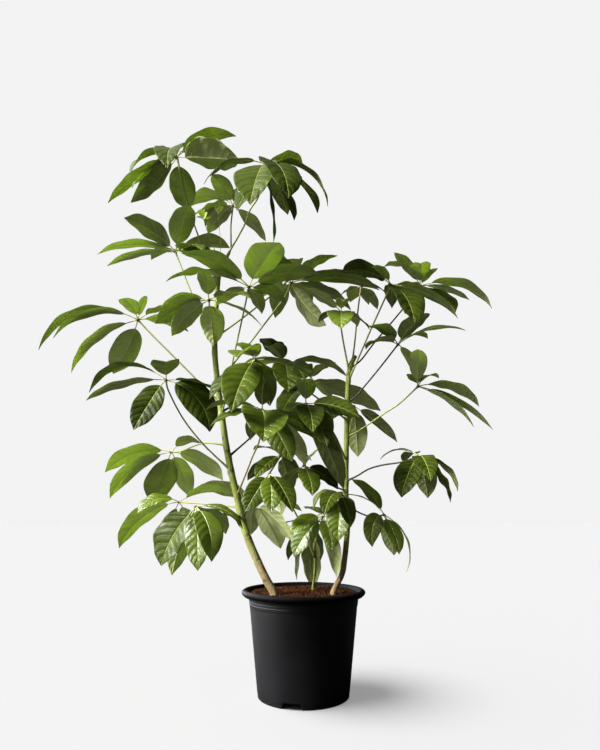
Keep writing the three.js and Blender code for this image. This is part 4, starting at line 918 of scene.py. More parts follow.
# %% Pieces
def make_piece(name, bodies, materials):
    """One mesh object from closed bodies. Each body is paired with the number of its material."""
    points, quads, caps, quad_finish, cap_finish = [], [], [], [], []
    fields = {label: [] for label in bodies[0][0]["fields"]}
    start = 0
    for body, number in bodies:
        points.append(body["points"])
        quads.append(body["quads"] + start)
        caps.append(body["caps"] + start)
        quad_finish.append(np.full(len(body["quads"]), number))
        cap_finish.append(np.full(len(body["caps"]), number))
        for label in fields:
            fields[label].append(body["fields"][label])
        start += len(body["points"])
    points, quads, caps = np.vstack(points) * MM, np.vstack(quads), np.vstack(caps)
    mesh = bpy.data.meshes.new(name)
    mesh.vertices.add(len(points))
    mesh.vertices.foreach_set("co", points.ravel())
    mesh.loops.add(quads.size + caps.size)
    mesh.loops.foreach_set("vertex_index", np.concatenate([quads.ravel(), caps.ravel()]))
    mesh.polygons.add(len(quads) + len(caps))
    starts = np.concatenate([np.arange(len(quads)) * 4, quads.size + np.arange(len(caps)) * 3])
    mesh.polygons.foreach_set("loop_start", starts)
    mesh.polygons.foreach_set("material_index", np.concatenate(quad_finish + cap_finish))
    mesh.update(calc_edges=True)
    for label, values in fields.items():
        attribute = mesh.attributes.new(label, "FLOAT_VECTOR", "POINT")
        attribute.data.foreach_set("vector", np.vstack(values).astype(np.float32).ravel())
    mesh.polygons.foreach_set("use_smooth", np.full(len(mesh.polygons), True))
    for material in materials:
        mesh.materials.append(material)
    piece = bpy.data.objects.new(name, mesh)
    scene.collection.objects.link(piece)
    return piece


def stands_for(piece, slot, *nodes):
    """Says what a piece rides on and which plain solids it replaces. Its slot is not used."""
    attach(piece, "root")
    if nodes:
        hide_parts(*nodes)


print("pieces are made by", make_piece.__name__, "and named by", stands_for.__name__)

# %% Round cross-sections
def angles_round(count):
    """So many angles evenly round a circle, in radians."""
    return np.arange(count) / count * 2 * math.pi


def spokes_round(points, sides):
    """At each point of a line, the ways out to a ring of corners, without twisting along the line."""
    along = unit(np.vstack([points[1:], points[-1:]]) - np.vstack([points[:1], points[:-1]]))
    first = np.zeros_like(along)
    across = np.array([1.0, 0, 0]) if abs(along[0, 2]) > 0.9 else UP
    for i, direction in enumerate(along):
        across = unit(across - direction * (across @ direction))
        first[i] = across
    second = np.cross(along, first)
    angle = angles_round(sides)
    return first[:, None] * np.cos(angle)[:, None] + second[:, None] * np.sin(angle)[:, None]


def round_bar(points, radii, sides):
    """The cross-sections of a round bar along a line, with a radius for each point."""
    return points[:, None] + spokes_round(points, sides) * radii[:, None, None]


def round_knob(rings, sides, cap, start=0.0, flatness=1.0):
    """The cross-sections of a knob of radius one, from its top down. cap is its first ring's angle."""
    turn = np.linspace(cap, math.pi - cap, rings)[:, None, None]
    angle = angles_round(sides) + start
    ring = np.stack([np.cos(angle), np.sin(angle), np.zeros(sides)], 1)
    return np.sin(turn) * ring + flatness * np.cos(turn) * UP


print("round bodies are made by", round_bar.__name__, "and", round_knob.__name__)

# %% [markdown]
# ## The leaflet
# A leaflet is one body: its own short stalk, which swells a little at the hub, and then the blade. The
# blade is rounded at its foot, widest before the middle, and drawn out to a drip tip. Its halves fold up
# from the midrib and curl down again at the margins, the margins wave, and the skin between side veins is
# quilted. The midrib is a ridge below and a groove above. All of this is in the mesh; only the veins are a
# material.

# %% The blade's outline
FOOT_POWER, TIP_POWER = 0.615, 0.85  # how blunt the outline is at the foot and at the tip
WIDEST_AT = FOOT_POWER / (FOOT_POWER + TIP_POWER)
DRIP_FROM, DRIP_PINCH = 0.80, 0.34  # where the drip tip starts, and how much it narrows


def outline(s):
    """A blade's half width at places s along it, as a share of the greatest."""
    def plain(x):
        """The outline without its drip tip."""
        return x ** FOOT_POWER * (1 - x) ** TIP_POWER

    pinch = np.clip((s - DRIP_FROM) / (1 - DRIP_FROM), 0, 1)
    return plain(s) / plain(WIDEST_AT) * (1 - DRIP_PINCH * pinch * pinch * (3 - 2 * pinch))


print("a blade is widest at", round(WIDEST_AT, 2), "of its length")

# %% The blade's surface
TWIST_PIVOT = 0.35  # along the blade, where a twisted one lies level
DROOP_FROM = 0.6  # along the blade, where its tip starts to droop
RIPPLE_POWER = 2.2  # how much the ripples keep to the margin
QUILT_HEIGHT, QUILT_POWER = 0.011, 0.7  # over the blade's half width, and how flat-topped it is
PALE_SPREAD = 0.4  # how much the leaflets of a leaf differ in paleness


def blade_lift(share, s, half, habit):
    """How far the blade's middle surface stands off the plane of its frame, in mm."""
    size = np.abs(share)
    fold = habit["fold"] * size - habit["curl"] * size ** 2
    phase = np.where(share > 0, habit["right_phase"], habit["left_phase"])
    ripple = habit["ripple"] * size ** RIPPLE_POWER * np.sin(2 * math.pi * (habit["ripples"] * s + phase))
    twist = habit["twist"] * share * (s - TWIST_PIVOT)
    cell = SIDE_VEIN_PAIRS * (s - VEIN_SLANT * size - VEIN_CURL * size ** 2)
    cell = cell + VEIN_STAGGER * (share > 0) + habit["tone"]
    swelling = np.sin(math.pi * np.clip(size, 0, 1)) ** QUILT_POWER
    quilt = QUILT_HEIGHT * np.cos(2 * math.pi * cell) * swelling
    return half * (fold + ripple + twist + quilt) - habit["droop"] * np.clip(s - DROOP_FROM, 0, 1) ** 2


def new_habit(rng, pale):
    """How one leaflet folds, waves and twists, and how pale it is, by chance."""
    return {
        "fold": rng.uniform(0.20, 0.44), "curl": rng.uniform(0.08, 0.26),
        "ripple": rng.uniform(0.03, 0.10), "ripples": rng.uniform(1.6, 3.4),
        "right_phase": rng.random(), "left_phase": rng.random(),
        "twist": rng.uniform(-0.22, 0.22), "droop": rng.uniform(0.0, 22.0),
        "sweep": rng.uniform(-2.5, 2.5), "tone": rng.random(),
        "pale": float(np.clip(pale + rng.uniform(-PALE_SPREAD, PALE_SPREAD), 0, 1))}


print("a blade's surface is lifted by", blade_lift.__name__)

# %% The blade's rings
BLADE_RINGS = 44
BLADE_START, BLADE_REACH = 0.004, 0.990  # the first ring's place along the blade, and from it to the last
END_CROWDING = 0.3  # how much closer the rings lie at both ends
RIM_COLUMNS = np.array((0.13, 0.34, 0.56, 0.77, 0.93, 1.0))  # from the midrib's side to the margin
RIB_COLUMNS = np.array((0.0, 0.6, 1.0))  # over the midrib's own half width
SKIN_HALF, SKIN_EDGE = 0.32, 0.14  # mm, half the blade's thickness at the midrib and at the margin
LEAFLET_STALK_RADIUS, LEAFLET_FOOT_RADIUS = 1.0, 1.5  # mm
RIB_THINNING = 0.82  # how much thinner the midrib gets towards the tip
RIB_MARGIN = 1.35  # a blade is at least this much wider than its midrib
GROOVE_DEPTH, RIDGE_HEIGHT = 0.18, 0.85  # of the midrib, over its half width


def over_and_back(upper, lower):
    """Corners in order round the blade: over its upper face, and back under it without the margins."""
    return np.hstack([upper, lower[:, -2:0:-1]])


def blade_rings(settled, habit, small):
    """The blade's cross-sections, where each corner lies on the blade, and its face: 1 above, -1 below."""
    guide, side, length, roll, leaflet = settled
    u = np.linspace(0, 1, BLADE_RINGS)
    eased = (1 - np.cos(math.pi * u)) / 2
    along = BLADE_START + BLADE_REACH * ((1 - END_CROWDING) * u + END_CROWDING * eased)
    s = along[:, None]
    rib = small * LEAFLET_STALK_RADIUS * (1 - RIB_THINNING * s)
    wide = np.maximum(outline(s) * half_width(leaflet, length), RIB_MARGIN * rib)
    from_rib = np.hstack([rib * RIB_COLUMNS, rib + (wide - rib) * RIM_COLUMNS])
    x = np.hstack([-from_rib[:, :0:-1], from_rib])
    share = x / wide
    lift = blade_lift(share, s, wide, habit)
    skin = small * (SKIN_EDGE + (SKIN_HALF - SKIN_EDGE) * (1 - share ** 4))
    ridge = np.sqrt(np.clip(1 - (x / rib) ** 2, 0, 1)) * rib
    ring_x = over_and_back(x, x) + habit["sweep"] * np.sin(math.pi * s)
    ring_z = over_and_back(lift + skin - GROOVE_DEPTH * ridge, lift - skin - RIDGE_HEIGHT * ridge)
    margin = x.shape[1] - 1
    ring_z[:, 0], ring_z[:, margin] = lift[:, 0], lift[:, -1]
    point, across, face = blade_frame(guide, side, roll, STALK_SHARE + (1 - STALK_SHARE) * along)
    rings = point[:, None] + across[:, None] * ring_x[:, :, None] + face[:, None] * ring_z[:, :, None]
    share = over_and_back(share, share)
    lies = np.stack([share, np.broadcast_to(s, share.shape), np.abs(over_and_back(x, x))], 2)
    facing = np.concatenate([[0], np.ones(margin - 1), [0], -np.ones(margin - 1)])
    return rings, lies, facing


print("a blade has", BLADE_RINGS, "rings")

# %% One leaflet as a closed body
STALK_RINGS = 7
LEAFLET_ROOT = 0.012  # where a leaflet's stalk starts, inside the hub
STALK_END = 0.985 * STALK_SHARE  # where its last ring is, just short of the blade
FOOT_FADING = 5  # how soon its swollen foot gets slim
LEAFLET_STALK_TINT = (0.42, 0.42, 0.11)


def leaflet_stalk_rings(settled, corners, small):
    """The cross-sections of a leaflet's own stalk, with as many corners as its blade has."""
    guide, side, _, roll, _ = settled
    t = np.linspace(LEAFLET_ROOT, STALK_END, STALK_RINGS)
    swollen = np.exp(-FOOT_FADING * ((t - t[0]) / (t[-1] - t[0])))
    radius = small * (LEAFLET_STALK_RADIUS + (LEAFLET_FOOT_RADIUS - LEAFLET_STALK_RADIUS) * swollen)
    point, across, face = blade_frame(guide, side, roll, t)
    angle = math.pi - angles_round(corners)
    spokes = across[:, None] * np.cos(angle)[:, None] + face[:, None] * np.sin(angle)[:, None]
    return point[:, None] + radius[:, None, None] * spokes


def leaflet_body(settled, habit, small):
    """The closed body of a settled leaflet. small scales the stalk and the skin of a sprout."""
    blade, lies, facing = blade_rings(settled, habit, small)
    stalk = leaflet_stalk_rings(settled, blade.shape[1], small)
    sections = np.vstack([stalk, blade])
    look = np.empty_like(sections)
    look[:] = (habit["tone"], -1, habit["pale"])
    look[STALK_RINGS:, :, 1] = facing
    tints = np.broadcast_to(LEAFLET_STALK_TINT, sections.shape)
    return loft(sections, {"blade": np.vstack([np.zeros_like(stalk), lies]), "look": look, "tint": tints})


print("a leaflet has", STALK_RINGS + BLADE_RINGS, "rings")

# %% [markdown]
# ## The compound leaf
# The leaf stalk clasps its trunk with a widened foot, runs slim and slightly bowed, and ends in a knob from
# which the leaflets' stalks spread. How a stalk is coloured follows the photograph: some are green, some
# yellow-green, and the old ones brown. So does how pale a leaf is: 0 is its darkest green, 1 its palest.
# That paleness is partly the leaf's own colour and partly painted light and shade: a leaf that stands in
# the light is painted paler, and one in shade darker.

# %% Colours of the stalks and leaves
GREEN_STALK, YELLOW_STALK = (0.40, 0.49, 0.09), (0.58, 0.59, 0.16)
BROWN_STALK, PINK_STALK, TAN_STALK = (0.075, 0.050, 0.018), (0.42, 0.27, 0.12), (0.44, 0.37, 0.14)
HUB_BROWN = (0.16, 0.075, 0.022)
STALK_TINTS = {
    "left_leaf_02": YELLOW_STALK, "left_leaf_03": BROWN_STALK, "left_leaf_09": YELLOW_STALK,
    "left_leaf_10": BROWN_STALK, "left_leaf_12": BROWN_STALK, "left_leaf_13": TAN_STALK,
    "left_leaf_15": TAN_STALK, "left_leaf_16": BROWN_STALK, "left_leaf_17": BROWN_STALK,
    "right_leaf_01": PINK_STALK, "right_leaf_03": YELLOW_STALK, "right_leaf_04": BROWN_STALK,
    "right_leaf_05": BROWN_STALK, "right_leaf_06": YELLOW_STALK, "right_leaf_10": BROWN_STALK,
    "right_leaf_11": TAN_STALK, "right_leaf_13": BROWN_STALK, "left_sprout_01": YELLOW_STALK,
    "left_sprout_02": YELLOW_STALK,
}
# How pale each leaf is painted: partly its own colour, partly painted light on leaves that stand lit and
# painted shade on those in shade.
PALE_AND_LIT_LEAVES = {"left_leaf_03": 0.55, "left_leaf_04": 0.6, "left_leaf_05": 0.65, "left_leaf_06": 0.5,
               "left_leaf_07": 0.7, "left_leaf_08": 0.8, "left_leaf_09": 0.75, "left_leaf_14": 0.85,
               "left_leaf_15": 0.65, "left_leaf_16": 0.5, "left_leaf_18": 1.0, "right_leaf_02": 0.55,
               "right_leaf_04": 0.55, "right_leaf_05": 0.65, "right_leaf_06": 1.0, "right_leaf_13": 0.8,
               "shoot_leaf_01": 0.95}
DARK_AND_SHADED_LEAVES = {"left_leaf_02": 0.0, "left_leaf_10": 0.3, "left_leaf_11": 0.05, "left_leaf_12": 0.05,
               "left_leaf_13": 0.2, "left_leaf_17": 0.05, "right_leaf_03": 0.05, "right_leaf_07": 0.3,
               "right_leaf_08": 0.05, "right_leaf_09": 0.15, "right_leaf_10": 0.0, "right_leaf_12": 0.15,
               "right_leaf_14": 0.0}
USUAL_PALENESS = 0.38
print("leaves paler than usual:", len(PALE_AND_LIT_LEAVES), "darker:", len(DARK_AND_SHADED_LEAVES))

# %% The stalk and the hub
STALK_RADIUS, STALK_FOOT_RADIUS, HUB_RADIUS = 1.7, 3.5, 3.6  # mm
STALK_SIDES, STALK_RINGS_ALONG = 14, 44
HUB_RINGS, HUB_SIDES, HUB_CAP = 9, 16, 0.06
HUB_FLATNESS = 0.8
CLASP_FADING = 14  # how soon the clasping foot gets slim
NECK_SWELL, NECK_LENGTH = 0.9, 0.03  # mm, and over the stalk's length: it thickens just before the hub
HUB_BROWNING, HUB_FADING = 0.75, 26  # how brown the stalk is at the hub, and how soon that fades
FOOT_BROWNING, BARK_FADING = 0.35, 30  # the same where it leaves the bark


def plain_fields(sections, tint):
    """The fields of a body with no blade, in one colour or in a colour for each ring."""
    still = np.zeros_like(sections)
    tints = np.broadcast_to(np.asarray(tint, float).reshape(-1, 1, 3), sections.shape)
    return {"blade": still, "look": still - (0, 1, 0), "tint": tints}


def leaf_stalk_body(leaf, small):
    """The stalk from its clasping foot to the hub."""
    line = points_along(stalk_points(leaf), STALK_RINGS_ALONG)
    way = np.linspace(0, 1, len(line))
    radius = STALK_RADIUS + (STALK_FOOT_RADIUS - STALK_RADIUS) * np.exp(-CLASP_FADING * way)
    radius = radius + NECK_SWELL * np.exp(-((1 - way) / NECK_LENGTH) ** 2)
    sections = round_bar(line, small * radius, STALK_SIDES)
    tint = np.array(STALK_TINTS.get(leaf["name"], GREEN_STALK))
    browning = HUB_BROWNING * np.exp(-(1 - way) * HUB_FADING) + FOOT_BROWNING * np.exp(-way * BARK_FADING)
    browning = browning[:, None]
    return loft(sections, plain_fields(sections, tint * (1 - browning) + np.array(HUB_BROWN) * browning))


def hub_body(centre, small):
    """A slightly flattened knob."""
    knob = round_knob(HUB_RINGS, HUB_SIDES, HUB_CAP, flatness=HUB_FLATNESS)
    sections = centre + small * HUB_RADIUS * knob
    return loft(sections, plain_fields(sections, HUB_BROWN))


print("stalks are", 2 * STALK_RADIUS, "mm thick, hubs", 2 * HUB_RADIUS, "mm")

# %% Building the leaves
FULL_SIZE_LENGTH = 80.0  # mm; a leaf with shorter leaflets is a sprout
rng = np.random.default_rng(5)


def build_leaf(leaf, grown):
    """The whole compound leaf as one piece."""
    small = min(1.0, leaf["length"] / FULL_SIZE_LENGTH)
    pale = {**PALE_AND_LIT_LEAVES, **DARK_AND_SHADED_LEAVES}.get(leaf["name"], USUAL_PALENESS)
    hub = seen_at(*leaf["hub"], leaf["depth"])
    bodies = [(leaf_stalk_body(leaf, small), 1), (hub_body(hub, small), 1)]
    bodies += [(leaflet_body(settled, new_habit(rng, pale), small), 0) for settled in grown]
    blade, slot = (sprout_green, "sprout") if small < 1 else (leaflet_green, "leaf")
    piece = make_piece(leaf["name"] + "_foliage", bodies, [blade, leaf_stalk])
    stands_for(piece, slot, leaf["name"])
    return piece


foliage = [build_leaf(leaf, grown) for leaf, grown in zip(LEAVES, crown)]
print("leaves:", len(foliage), "faces:", sum(len(piece.data.polygons) for piece in foliage))

# %% [markdown]
# ## Trunks
# The trunks are woody and tan near the soil, with fine cracks and pale breathing pores, and turn smooth and
# green higher up, where the bark is young. Every leaf leaves a raised joint, and leaves that have dropped
# leave a shield-shaped brown scar. The mesh carries how far up the bark has turned green, and the raised
# joints are part of its radius.

# %% Bark material
CRACK_FROM, PORE_FROM = (0.36, 0.52), (0.10, 0.26)  # where the noises count as a crack or a pore, eased
CRACK_SHARE, PORE_SHARE, SCAR_SHARE = 0.55, 0.5, 0.9  # how strongly each colours the bark
GREEN_CLOUD, GREEN_EDGE = 0.5, (0.3, 0.7)  # how uneven the change to green is, and its softness
CRACK_DEPTH, PORE_HEIGHT = 0.8, 0.4  # over the relief's height
BARK_RELIEF = 0.0007  # m
WOOD_ROUGHNESS, GREEN_POLISH = 0.82, 0.33  # green bark is that much less rough


def bark_material():
    """Cracked tan wood that turns to smooth green bark, with brown scars."""
    material, tree, shader = new_material("bark")
    greenness, scar, _ = parts_of(tree, mesh_field(tree, "bark"))
    marks = use_group(tree, mottle, {"Cloud Scale": 38.0, "Grain Scale": 520.0, "Contrast": 2.4})
    drawn_out = add_node(tree, "ShaderNodeMapping", {"Vector": place_of(tree), "Scale": (1.0, 1.0, 0.16)})
    place = drawn_out.outputs["Vector"]
    cracks = add_node(tree, "ShaderNodeTexNoise", {"Vector": place, "Scale": 620.0, "Detail": 3.0})
    crack = ramp_of(tree, cracks.outputs["Fac"], *CRACK_FROM, 1.0, 0.0)
    pores = add_node(tree, "ShaderNodeTexVoronoi", {"Vector": place, "Scale": 210.0})
    pore = ramp_of(tree, pores.outputs["Distance"], *PORE_FROM, 1.0, 0.0)
    wood = blend_of(tree, marks["Cloud"], (0.29, 0.20, 0.085, 1), (0.50, 0.37, 0.18, 1))
    wood = blend_of(tree, product_of(tree, crack, CRACK_SHARE), wood, (0.13, 0.072, 0.03, 1))
    young = blend_of(tree, marks["Cloud"], (0.21, 0.28, 0.03, 1), (0.42, 0.48, 0.09, 1))
    young = blend_of(tree, product_of(tree, pore, PORE_SHARE), young, (0.42, 0.40, 0.20, 1))
    uneven = scaled_onto(tree, math_of(tree, "SUBTRACT", marks["Cloud"], 0.5), GREEN_CLOUD, greenness)
    green_share = ramp_of(tree, uneven, *GREEN_EDGE)
    color = blend_of(tree, green_share, wood, young)
    color = blend_of(tree, product_of(tree, scar, SCAR_SHARE), color, (0.115, 0.052, 0.02, 1))
    woody_crack = product_of(tree, crack, math_of(tree, "SUBTRACT", 1.0, green_share))
    height = scaled_onto(tree, woody_crack, -CRACK_DEPTH, marks["Grain"])
    height = scaled_onto(tree, pore, PORE_HEIGHT, height)
    rough = scaled_onto(tree, green_share, -GREEN_POLISH, WOOD_ROUGHNESS)
    drive(tree, shader, Base_Color=color, Roughness=rough, Normal=bump_of(tree, height, BARK_RELIEF))
    return material


bark = bark_material()
print("bark:", len(bark.node_tree.nodes), "nodes")

# %% The stems' lines
SOIL_TOP = 226.0  # mm
HOLE_DEPTH = 34.0  # mm, how far a stem goes down into the soil
STEM_GAP = 0.3  # mm, between its foot and the bottom of the hole
STEM_COLLAR, COLLAR_ROOM = 2.4, 4.0  # mm, a point of its line over the soil, and how near it others may be
STEM_RINGS_PER_MM = 0.55
STEM_SIDES = 40


def stem_line(stem):
    """The centre line from the bottom of the hole in the soil, and its radius at each point."""
    points = stem_points(stem)
    foot = np.array([points[0, 0], points[0, 1], SOIL_TOP - HOLE_DEPTH + STEM_GAP])
    collar = np.array([points[0, 0], points[0, 1], SOIL_TOP + STEM_COLLAR])
    above = points[points[:, 2] > collar[2] + COLLAR_ROOM]
    low, high = stem["radius"]
    radii = np.concatenate([[low, low], low + (high - low) * np.arange(len(above)) / (len(above) - 1)])
    points = np.vstack([foot, collar, above])
    length = np.linalg.norm(np.diff(points, axis=0), axis=1).sum()
    count = int(length * STEM_RINGS_PER_MM)
    places = np.arange(count + 1) / count * (len(points) - 1)
    return points_along(points, count), np.interp(places, np.arange(len(radii)), radii)


def turn_gap(angle, degrees):
    """How far each angle is from a heading, in radians, either way round."""
    return (angle - math.radians(degrees) + math.pi) % (2 * math.pi) - math.pi


print("stems are rooted", HOLE_DEPTH, "mm deep")

# %% Joints
JOINT_SWELL, JOINT_RING, JOINT_BROWN = 0.16, 0.04, 0.55  # under the leaf, all round, and how brown
JOINT_WIDTH = 0.9  # radians round the stem
SWELL_DROP, SWELL_TALL, RING_TALL = 3, 6, 5  # mm, how far under the joint, and how tall
BROWN_DROP, BROWN_TALL = 4, 2.2  # mm


def joint_marks(leaf, heading, height):
    """How far a leaf's joint swells its stem, over the radius, and how brown it is there."""
    node = stalk_points(leaf)
    away = node[1] - node[0]
    gap = turn_gap(heading, math.degrees(math.atan2(away[1], away[0])))
    rise = height - node[0, 2]
    near = np.exp(-(gap / JOINT_WIDTH) ** 2)
    under_leaf = JOINT_SWELL * near * np.exp(-((rise + SWELL_DROP) / SWELL_TALL) ** 2)
    swell = under_leaf + JOINT_RING * np.exp(-(rise / RING_TALL) ** 2)
    return swell, JOINT_BROWN * near * np.exp(-((rise + BROWN_DROP) / BROWN_TALL) ** 2)


print("joints swell a stem by", JOINT_SWELL, "of its radius")

# %% Scars without a leaf
BARE_SCARS = {  # dropped leaves: how high in mm, which way round in degrees from +X, and how tall in mm
    "left_trunk": [(258, -120, 5), (300, -60, 6), (352, -75, 7), (395, -118, 6), (437, -50, 7),
                   (489, -60, 8), (531, -80, 7), (560, -140, 6), (655, -55, 6), (790, -80, 7)],
    "right_trunk": [(262, -95, 4), (318, -60, 5), (352, -120, 5), (402, -75, 5), (520, -70, 5),
                    (610, -110, 4)],
    "young_shoot": [(262, -90, 2.5), (300, -80, 3)],
}
SHIELD_WIDTH, SHIELD_BEND = 0.75, 2.2  # radians round the stem, and mm that its sides hang down
SHIELD_SINK = 0.03  # over the radius
SCAR_SWELL, SCAR_WIDTH, SCAR_TALL = 0.07, 1.1, 3  # over the radius, radians round, and mm
SCAR_DROP = 0.7  # how far the swelling is under the shield, over the shield's height


def bare_marks(scar, heading, height):
    """How far a scar swells its stem, over the radius, and the sunk brown shield that it leaves."""
    middle, degrees, tall = scar
    gap = turn_gap(heading, degrees)
    rise = height - middle
    shield = np.exp(-(gap / SHIELD_WIDTH) ** 4 - ((rise + SHIELD_BEND * gap ** 2) / (0.5 * tall)) ** 4)
    below = np.exp(-(gap / SCAR_WIDTH) ** 2 - ((rise + SCAR_DROP * tall) / SCAR_TALL) ** 2)
    return SCAR_SWELL * below - SHIELD_SINK * shield, shield


print("bare scars:", sum(len(scars) for scars in BARE_SCARS.values()))

# %% The stems' meshes
GREEN_FROM = {"left_trunk": 322.0, "right_trunk": 330.0, "young_shoot": 200.0}  # mm, half wood, half green
GREEN_OVER = 130.0  # mm that the change from wood to green takes
BUMP_ALONG, BUMP_ROUND, BUMP_HEIGHT = 0.045, 0.9, 0.045  # fineness along and round, height over the radius
TOP_BROWN, TOP_FADING = 0.8, 5.0  # how brown a stem's cut top is, and over how many mm that fades


def stem_body(name, stem):
    """A stem with its joints, scars and slight bumps."""
    line, radii = stem_line(stem)
    spokes = spokes_round(line, STEM_SIDES)
    heading = np.arctan2(spokes[:, :, 1], spokes[:, :, 0])
    height = np.broadcast_to(line[:, 2:3], heading.shape)
    marks = [joint_marks(leaf, heading, height) for leaf in LEAVES if leaf["stem"] == name]
    marks += [bare_marks(scar, heading, height) for scar in BARE_SCARS[name]]
    swell, scar = np.ones_like(heading), np.zeros_like(heading)
    for swelling, brown in marks:
        swell += swelling
        scar = np.maximum(scar, brown)
    bumps = np.array([[noise.noise(Vector(point * BUMP_ALONG) + Vector(spoke * BUMP_ROUND))
                       for spoke in ring] for point, ring in zip(line, spokes)])
    reach = radii[:, None] * (swell + BUMP_HEIGHT * bumps)
    sections = line[:, None] + spokes * reach[:, :, None]
    green = np.clip((height - GREEN_FROM[name]) / GREEN_OVER + 0.5, 0, 1)
    top = TOP_BROWN * np.exp(-((line[-1, 2] - height) / TOP_FADING) ** 2)
    return loft(sections, {"bark": np.stack([green, np.maximum(scar, top), np.zeros_like(green)], 2)})


for name, stem in STEMS.items():
    piece = make_piece(name + "_wood", [(stem_body(name, stem), 0)], [bark])
    stands_for(piece, "green_bark" if name == "young_shoot" else "bark", name)
    print(piece.name, len(piece.data.polygons), "faces")

# %% [markdown]
# ## The pot
# A nursery pot is injection moulded in black plastic: a tapered wall, a collar with fine raised rings, and
# a thick rolled lip to carry it by. Its profile is a list of corners with a rounding at each, and turning
# it round the axis gives the wall inside and out in one skin. The drain notches are made in the same turn:
# at their headings the foot is drawn up, which keeps the faces even, where a Boolean modifier would leave
# slivers. Two corners just above them, where the wall is already straight, keep their bend out of its
# shine.

# %% The pot's profile
POT_HEIGHT, LIP_RADIUS, LIP_DEPTH = 234.0, 135.6, 16.0  # mm, as are all of these
COLLAR_DEPTH, COLLAR_STEP = 21.0, 0.8
NECK_RADIUS, FOOT_RADIUS, WALL = 119.7, 101.0, 2.6
FOOT_WIDTH, RECESS, BOSS_RADIUS = 8.0, 13.0, 34.0
RING_HEIGHT, RING_STEP, RING_SPACING, LOWEST_RING = 1.2, 0.5, 5.8, 6.0  # the raised rings in the collar
RING_COUNT = 3
LIP_BOTTOM = POT_HEIGHT - LIP_DEPTH
COLLAR_BOTTOM = LIP_BOTTOM - COLLAR_DEPTH


def outer_radius(height):
    """The plain wall's outer radius."""
    return FOOT_RADIUS + (NECK_RADIUS - FOOT_RADIUS) * height / LIP_BOTTOM


def collar_rings():
    """The corners of the fine raised rings, from the lowest up."""
    corners = []
    for i in range(RING_COUNT):
        height = COLLAR_BOTTOM + LOWEST_RING + i * RING_SPACING
        radius = outer_radius(height) + COLLAR_STEP
        crest = radius + RING_STEP
        corners += [(radius, height, 0.3), (crest, height + 0.5, 0.3), (crest, height + RING_HEIGHT, 0.3),
                    (radius + 0.1, height + RING_HEIGHT + 0.5, 0.3)]
    return corners


print("the pot's wall is", round(outer_radius(COLLAR_BOTTOM), 1), "mm out under its collar")

# %% The profile's corners
CALM_HEIGHTS = (15.0, 20.0)  # mm, the corners that keep the notches' bend out of the wall
ROUNDING_STEPS = 5
ROUNDING_LIMIT = 0.45  # of the way to the next corner, the most that a rounding takes


def pot_corners():
    """The profile as (radius, height, rounding), from under the middle round to the floor inside."""
    foot_in = FOOT_RADIUS - FOOT_WIDTH
    floor_top = RECESS + WALL
    return [
        (0.0, 0.0, 0), (BOSS_RADIUS, 0.0, 1.0), (BOSS_RADIUS + 5, RECESS, 2.0),
        (foot_in - 3, RECESS, 2.0), (foot_in, 0.0, 1.0), (FOOT_RADIUS - 0.3, 0.0, 0.9),
        (outer_radius(9.0) - 0.5, 9.0, 0.3), (outer_radius(10.0), 10.0, 0.4),
        *((outer_radius(height), height, 0.2) for height in CALM_HEIGHTS),
        (outer_radius(COLLAR_BOTTOM), COLLAR_BOTTOM, 0.5),
        (outer_radius(COLLAR_BOTTOM) + COLLAR_STEP, COLLAR_BOTTOM + 1.6, 0.8),
        *collar_rings(),
        (outer_radius(LIP_BOTTOM) + COLLAR_STEP, LIP_BOTTOM, 1.0), (LIP_RADIUS - 6, LIP_BOTTOM + 0.5, 2.5),
        (LIP_RADIUS, LIP_BOTTOM + 7, 5.0), (LIP_RADIUS - 0.3, POT_HEIGHT - 4, 4.0),
        (LIP_RADIUS - 6, POT_HEIGHT, 4.0), (LIP_RADIUS - 11, POT_HEIGHT - 1.2, 2.5),
        (outer_radius(POT_HEIGHT - 14) - WALL, POT_HEIGHT - 14, 3.0),
        (outer_radius(floor_top) - WALL, floor_top, 3.0), (0.0, floor_top, 0)]


def rounded(corners):
    """The profile with each corner replaced by a short curve."""
    points = [corners[0][:2]]
    for before, corner, after in zip(corners, corners[1:], corners[2:]):
        middle = np.array(corner[:2])
        inward, outward = np.array(before[:2]) - middle, np.array(after[:2]) - middle
        room = ROUNDING_LIMIT * min(np.linalg.norm(inward), np.linalg.norm(outward))
        reach = min(corner[2], room)
        start, end = middle + unit(inward) * reach, middle + unit(outward) * reach
        for t in np.linspace(0, 1, ROUNDING_STEPS):
            points.append((1 - t) ** 2 * start + 2 * t * (1 - t) * middle + t * t * end)
    points.append(corners[-1][:2])
    return np.array(points, float)


profile = rounded(pot_corners())
print("pot profile:", len(profile), "points")

# %% [markdown]
# Black plastic is never quite black: it takes a broad soft shine from the window side, dust settles on its
# shoulders, and years of handling leave fine scuffs round it. The mould leaves very faint flow lines.

# %% Pot material
DULL_FROM = (0.212, 0.222)  # m above the floor: hands have rubbed the lip duller than the wall below it
WALL_SHINE, LIP_SHINE = 0.2, 0.03  # how much light each throws back
SCUFF_FROM, DUST_FROM = (0.60, 0.78), (0.35, 0.95)  # of the noise, and of how far a face looks up
DUST_SHARE, SCUFF_SHARE = 0.04, 0.06  # how strongly each shows
PLASTIC_ROUGHNESS, CLOUD_WEAR, SCUFF_WEAR = 0.44, 0.10, 0.12
SCUFF_RELIEF, PLASTIC_RELIEF = 0.35, 0.00014  # over the relief's height, and m


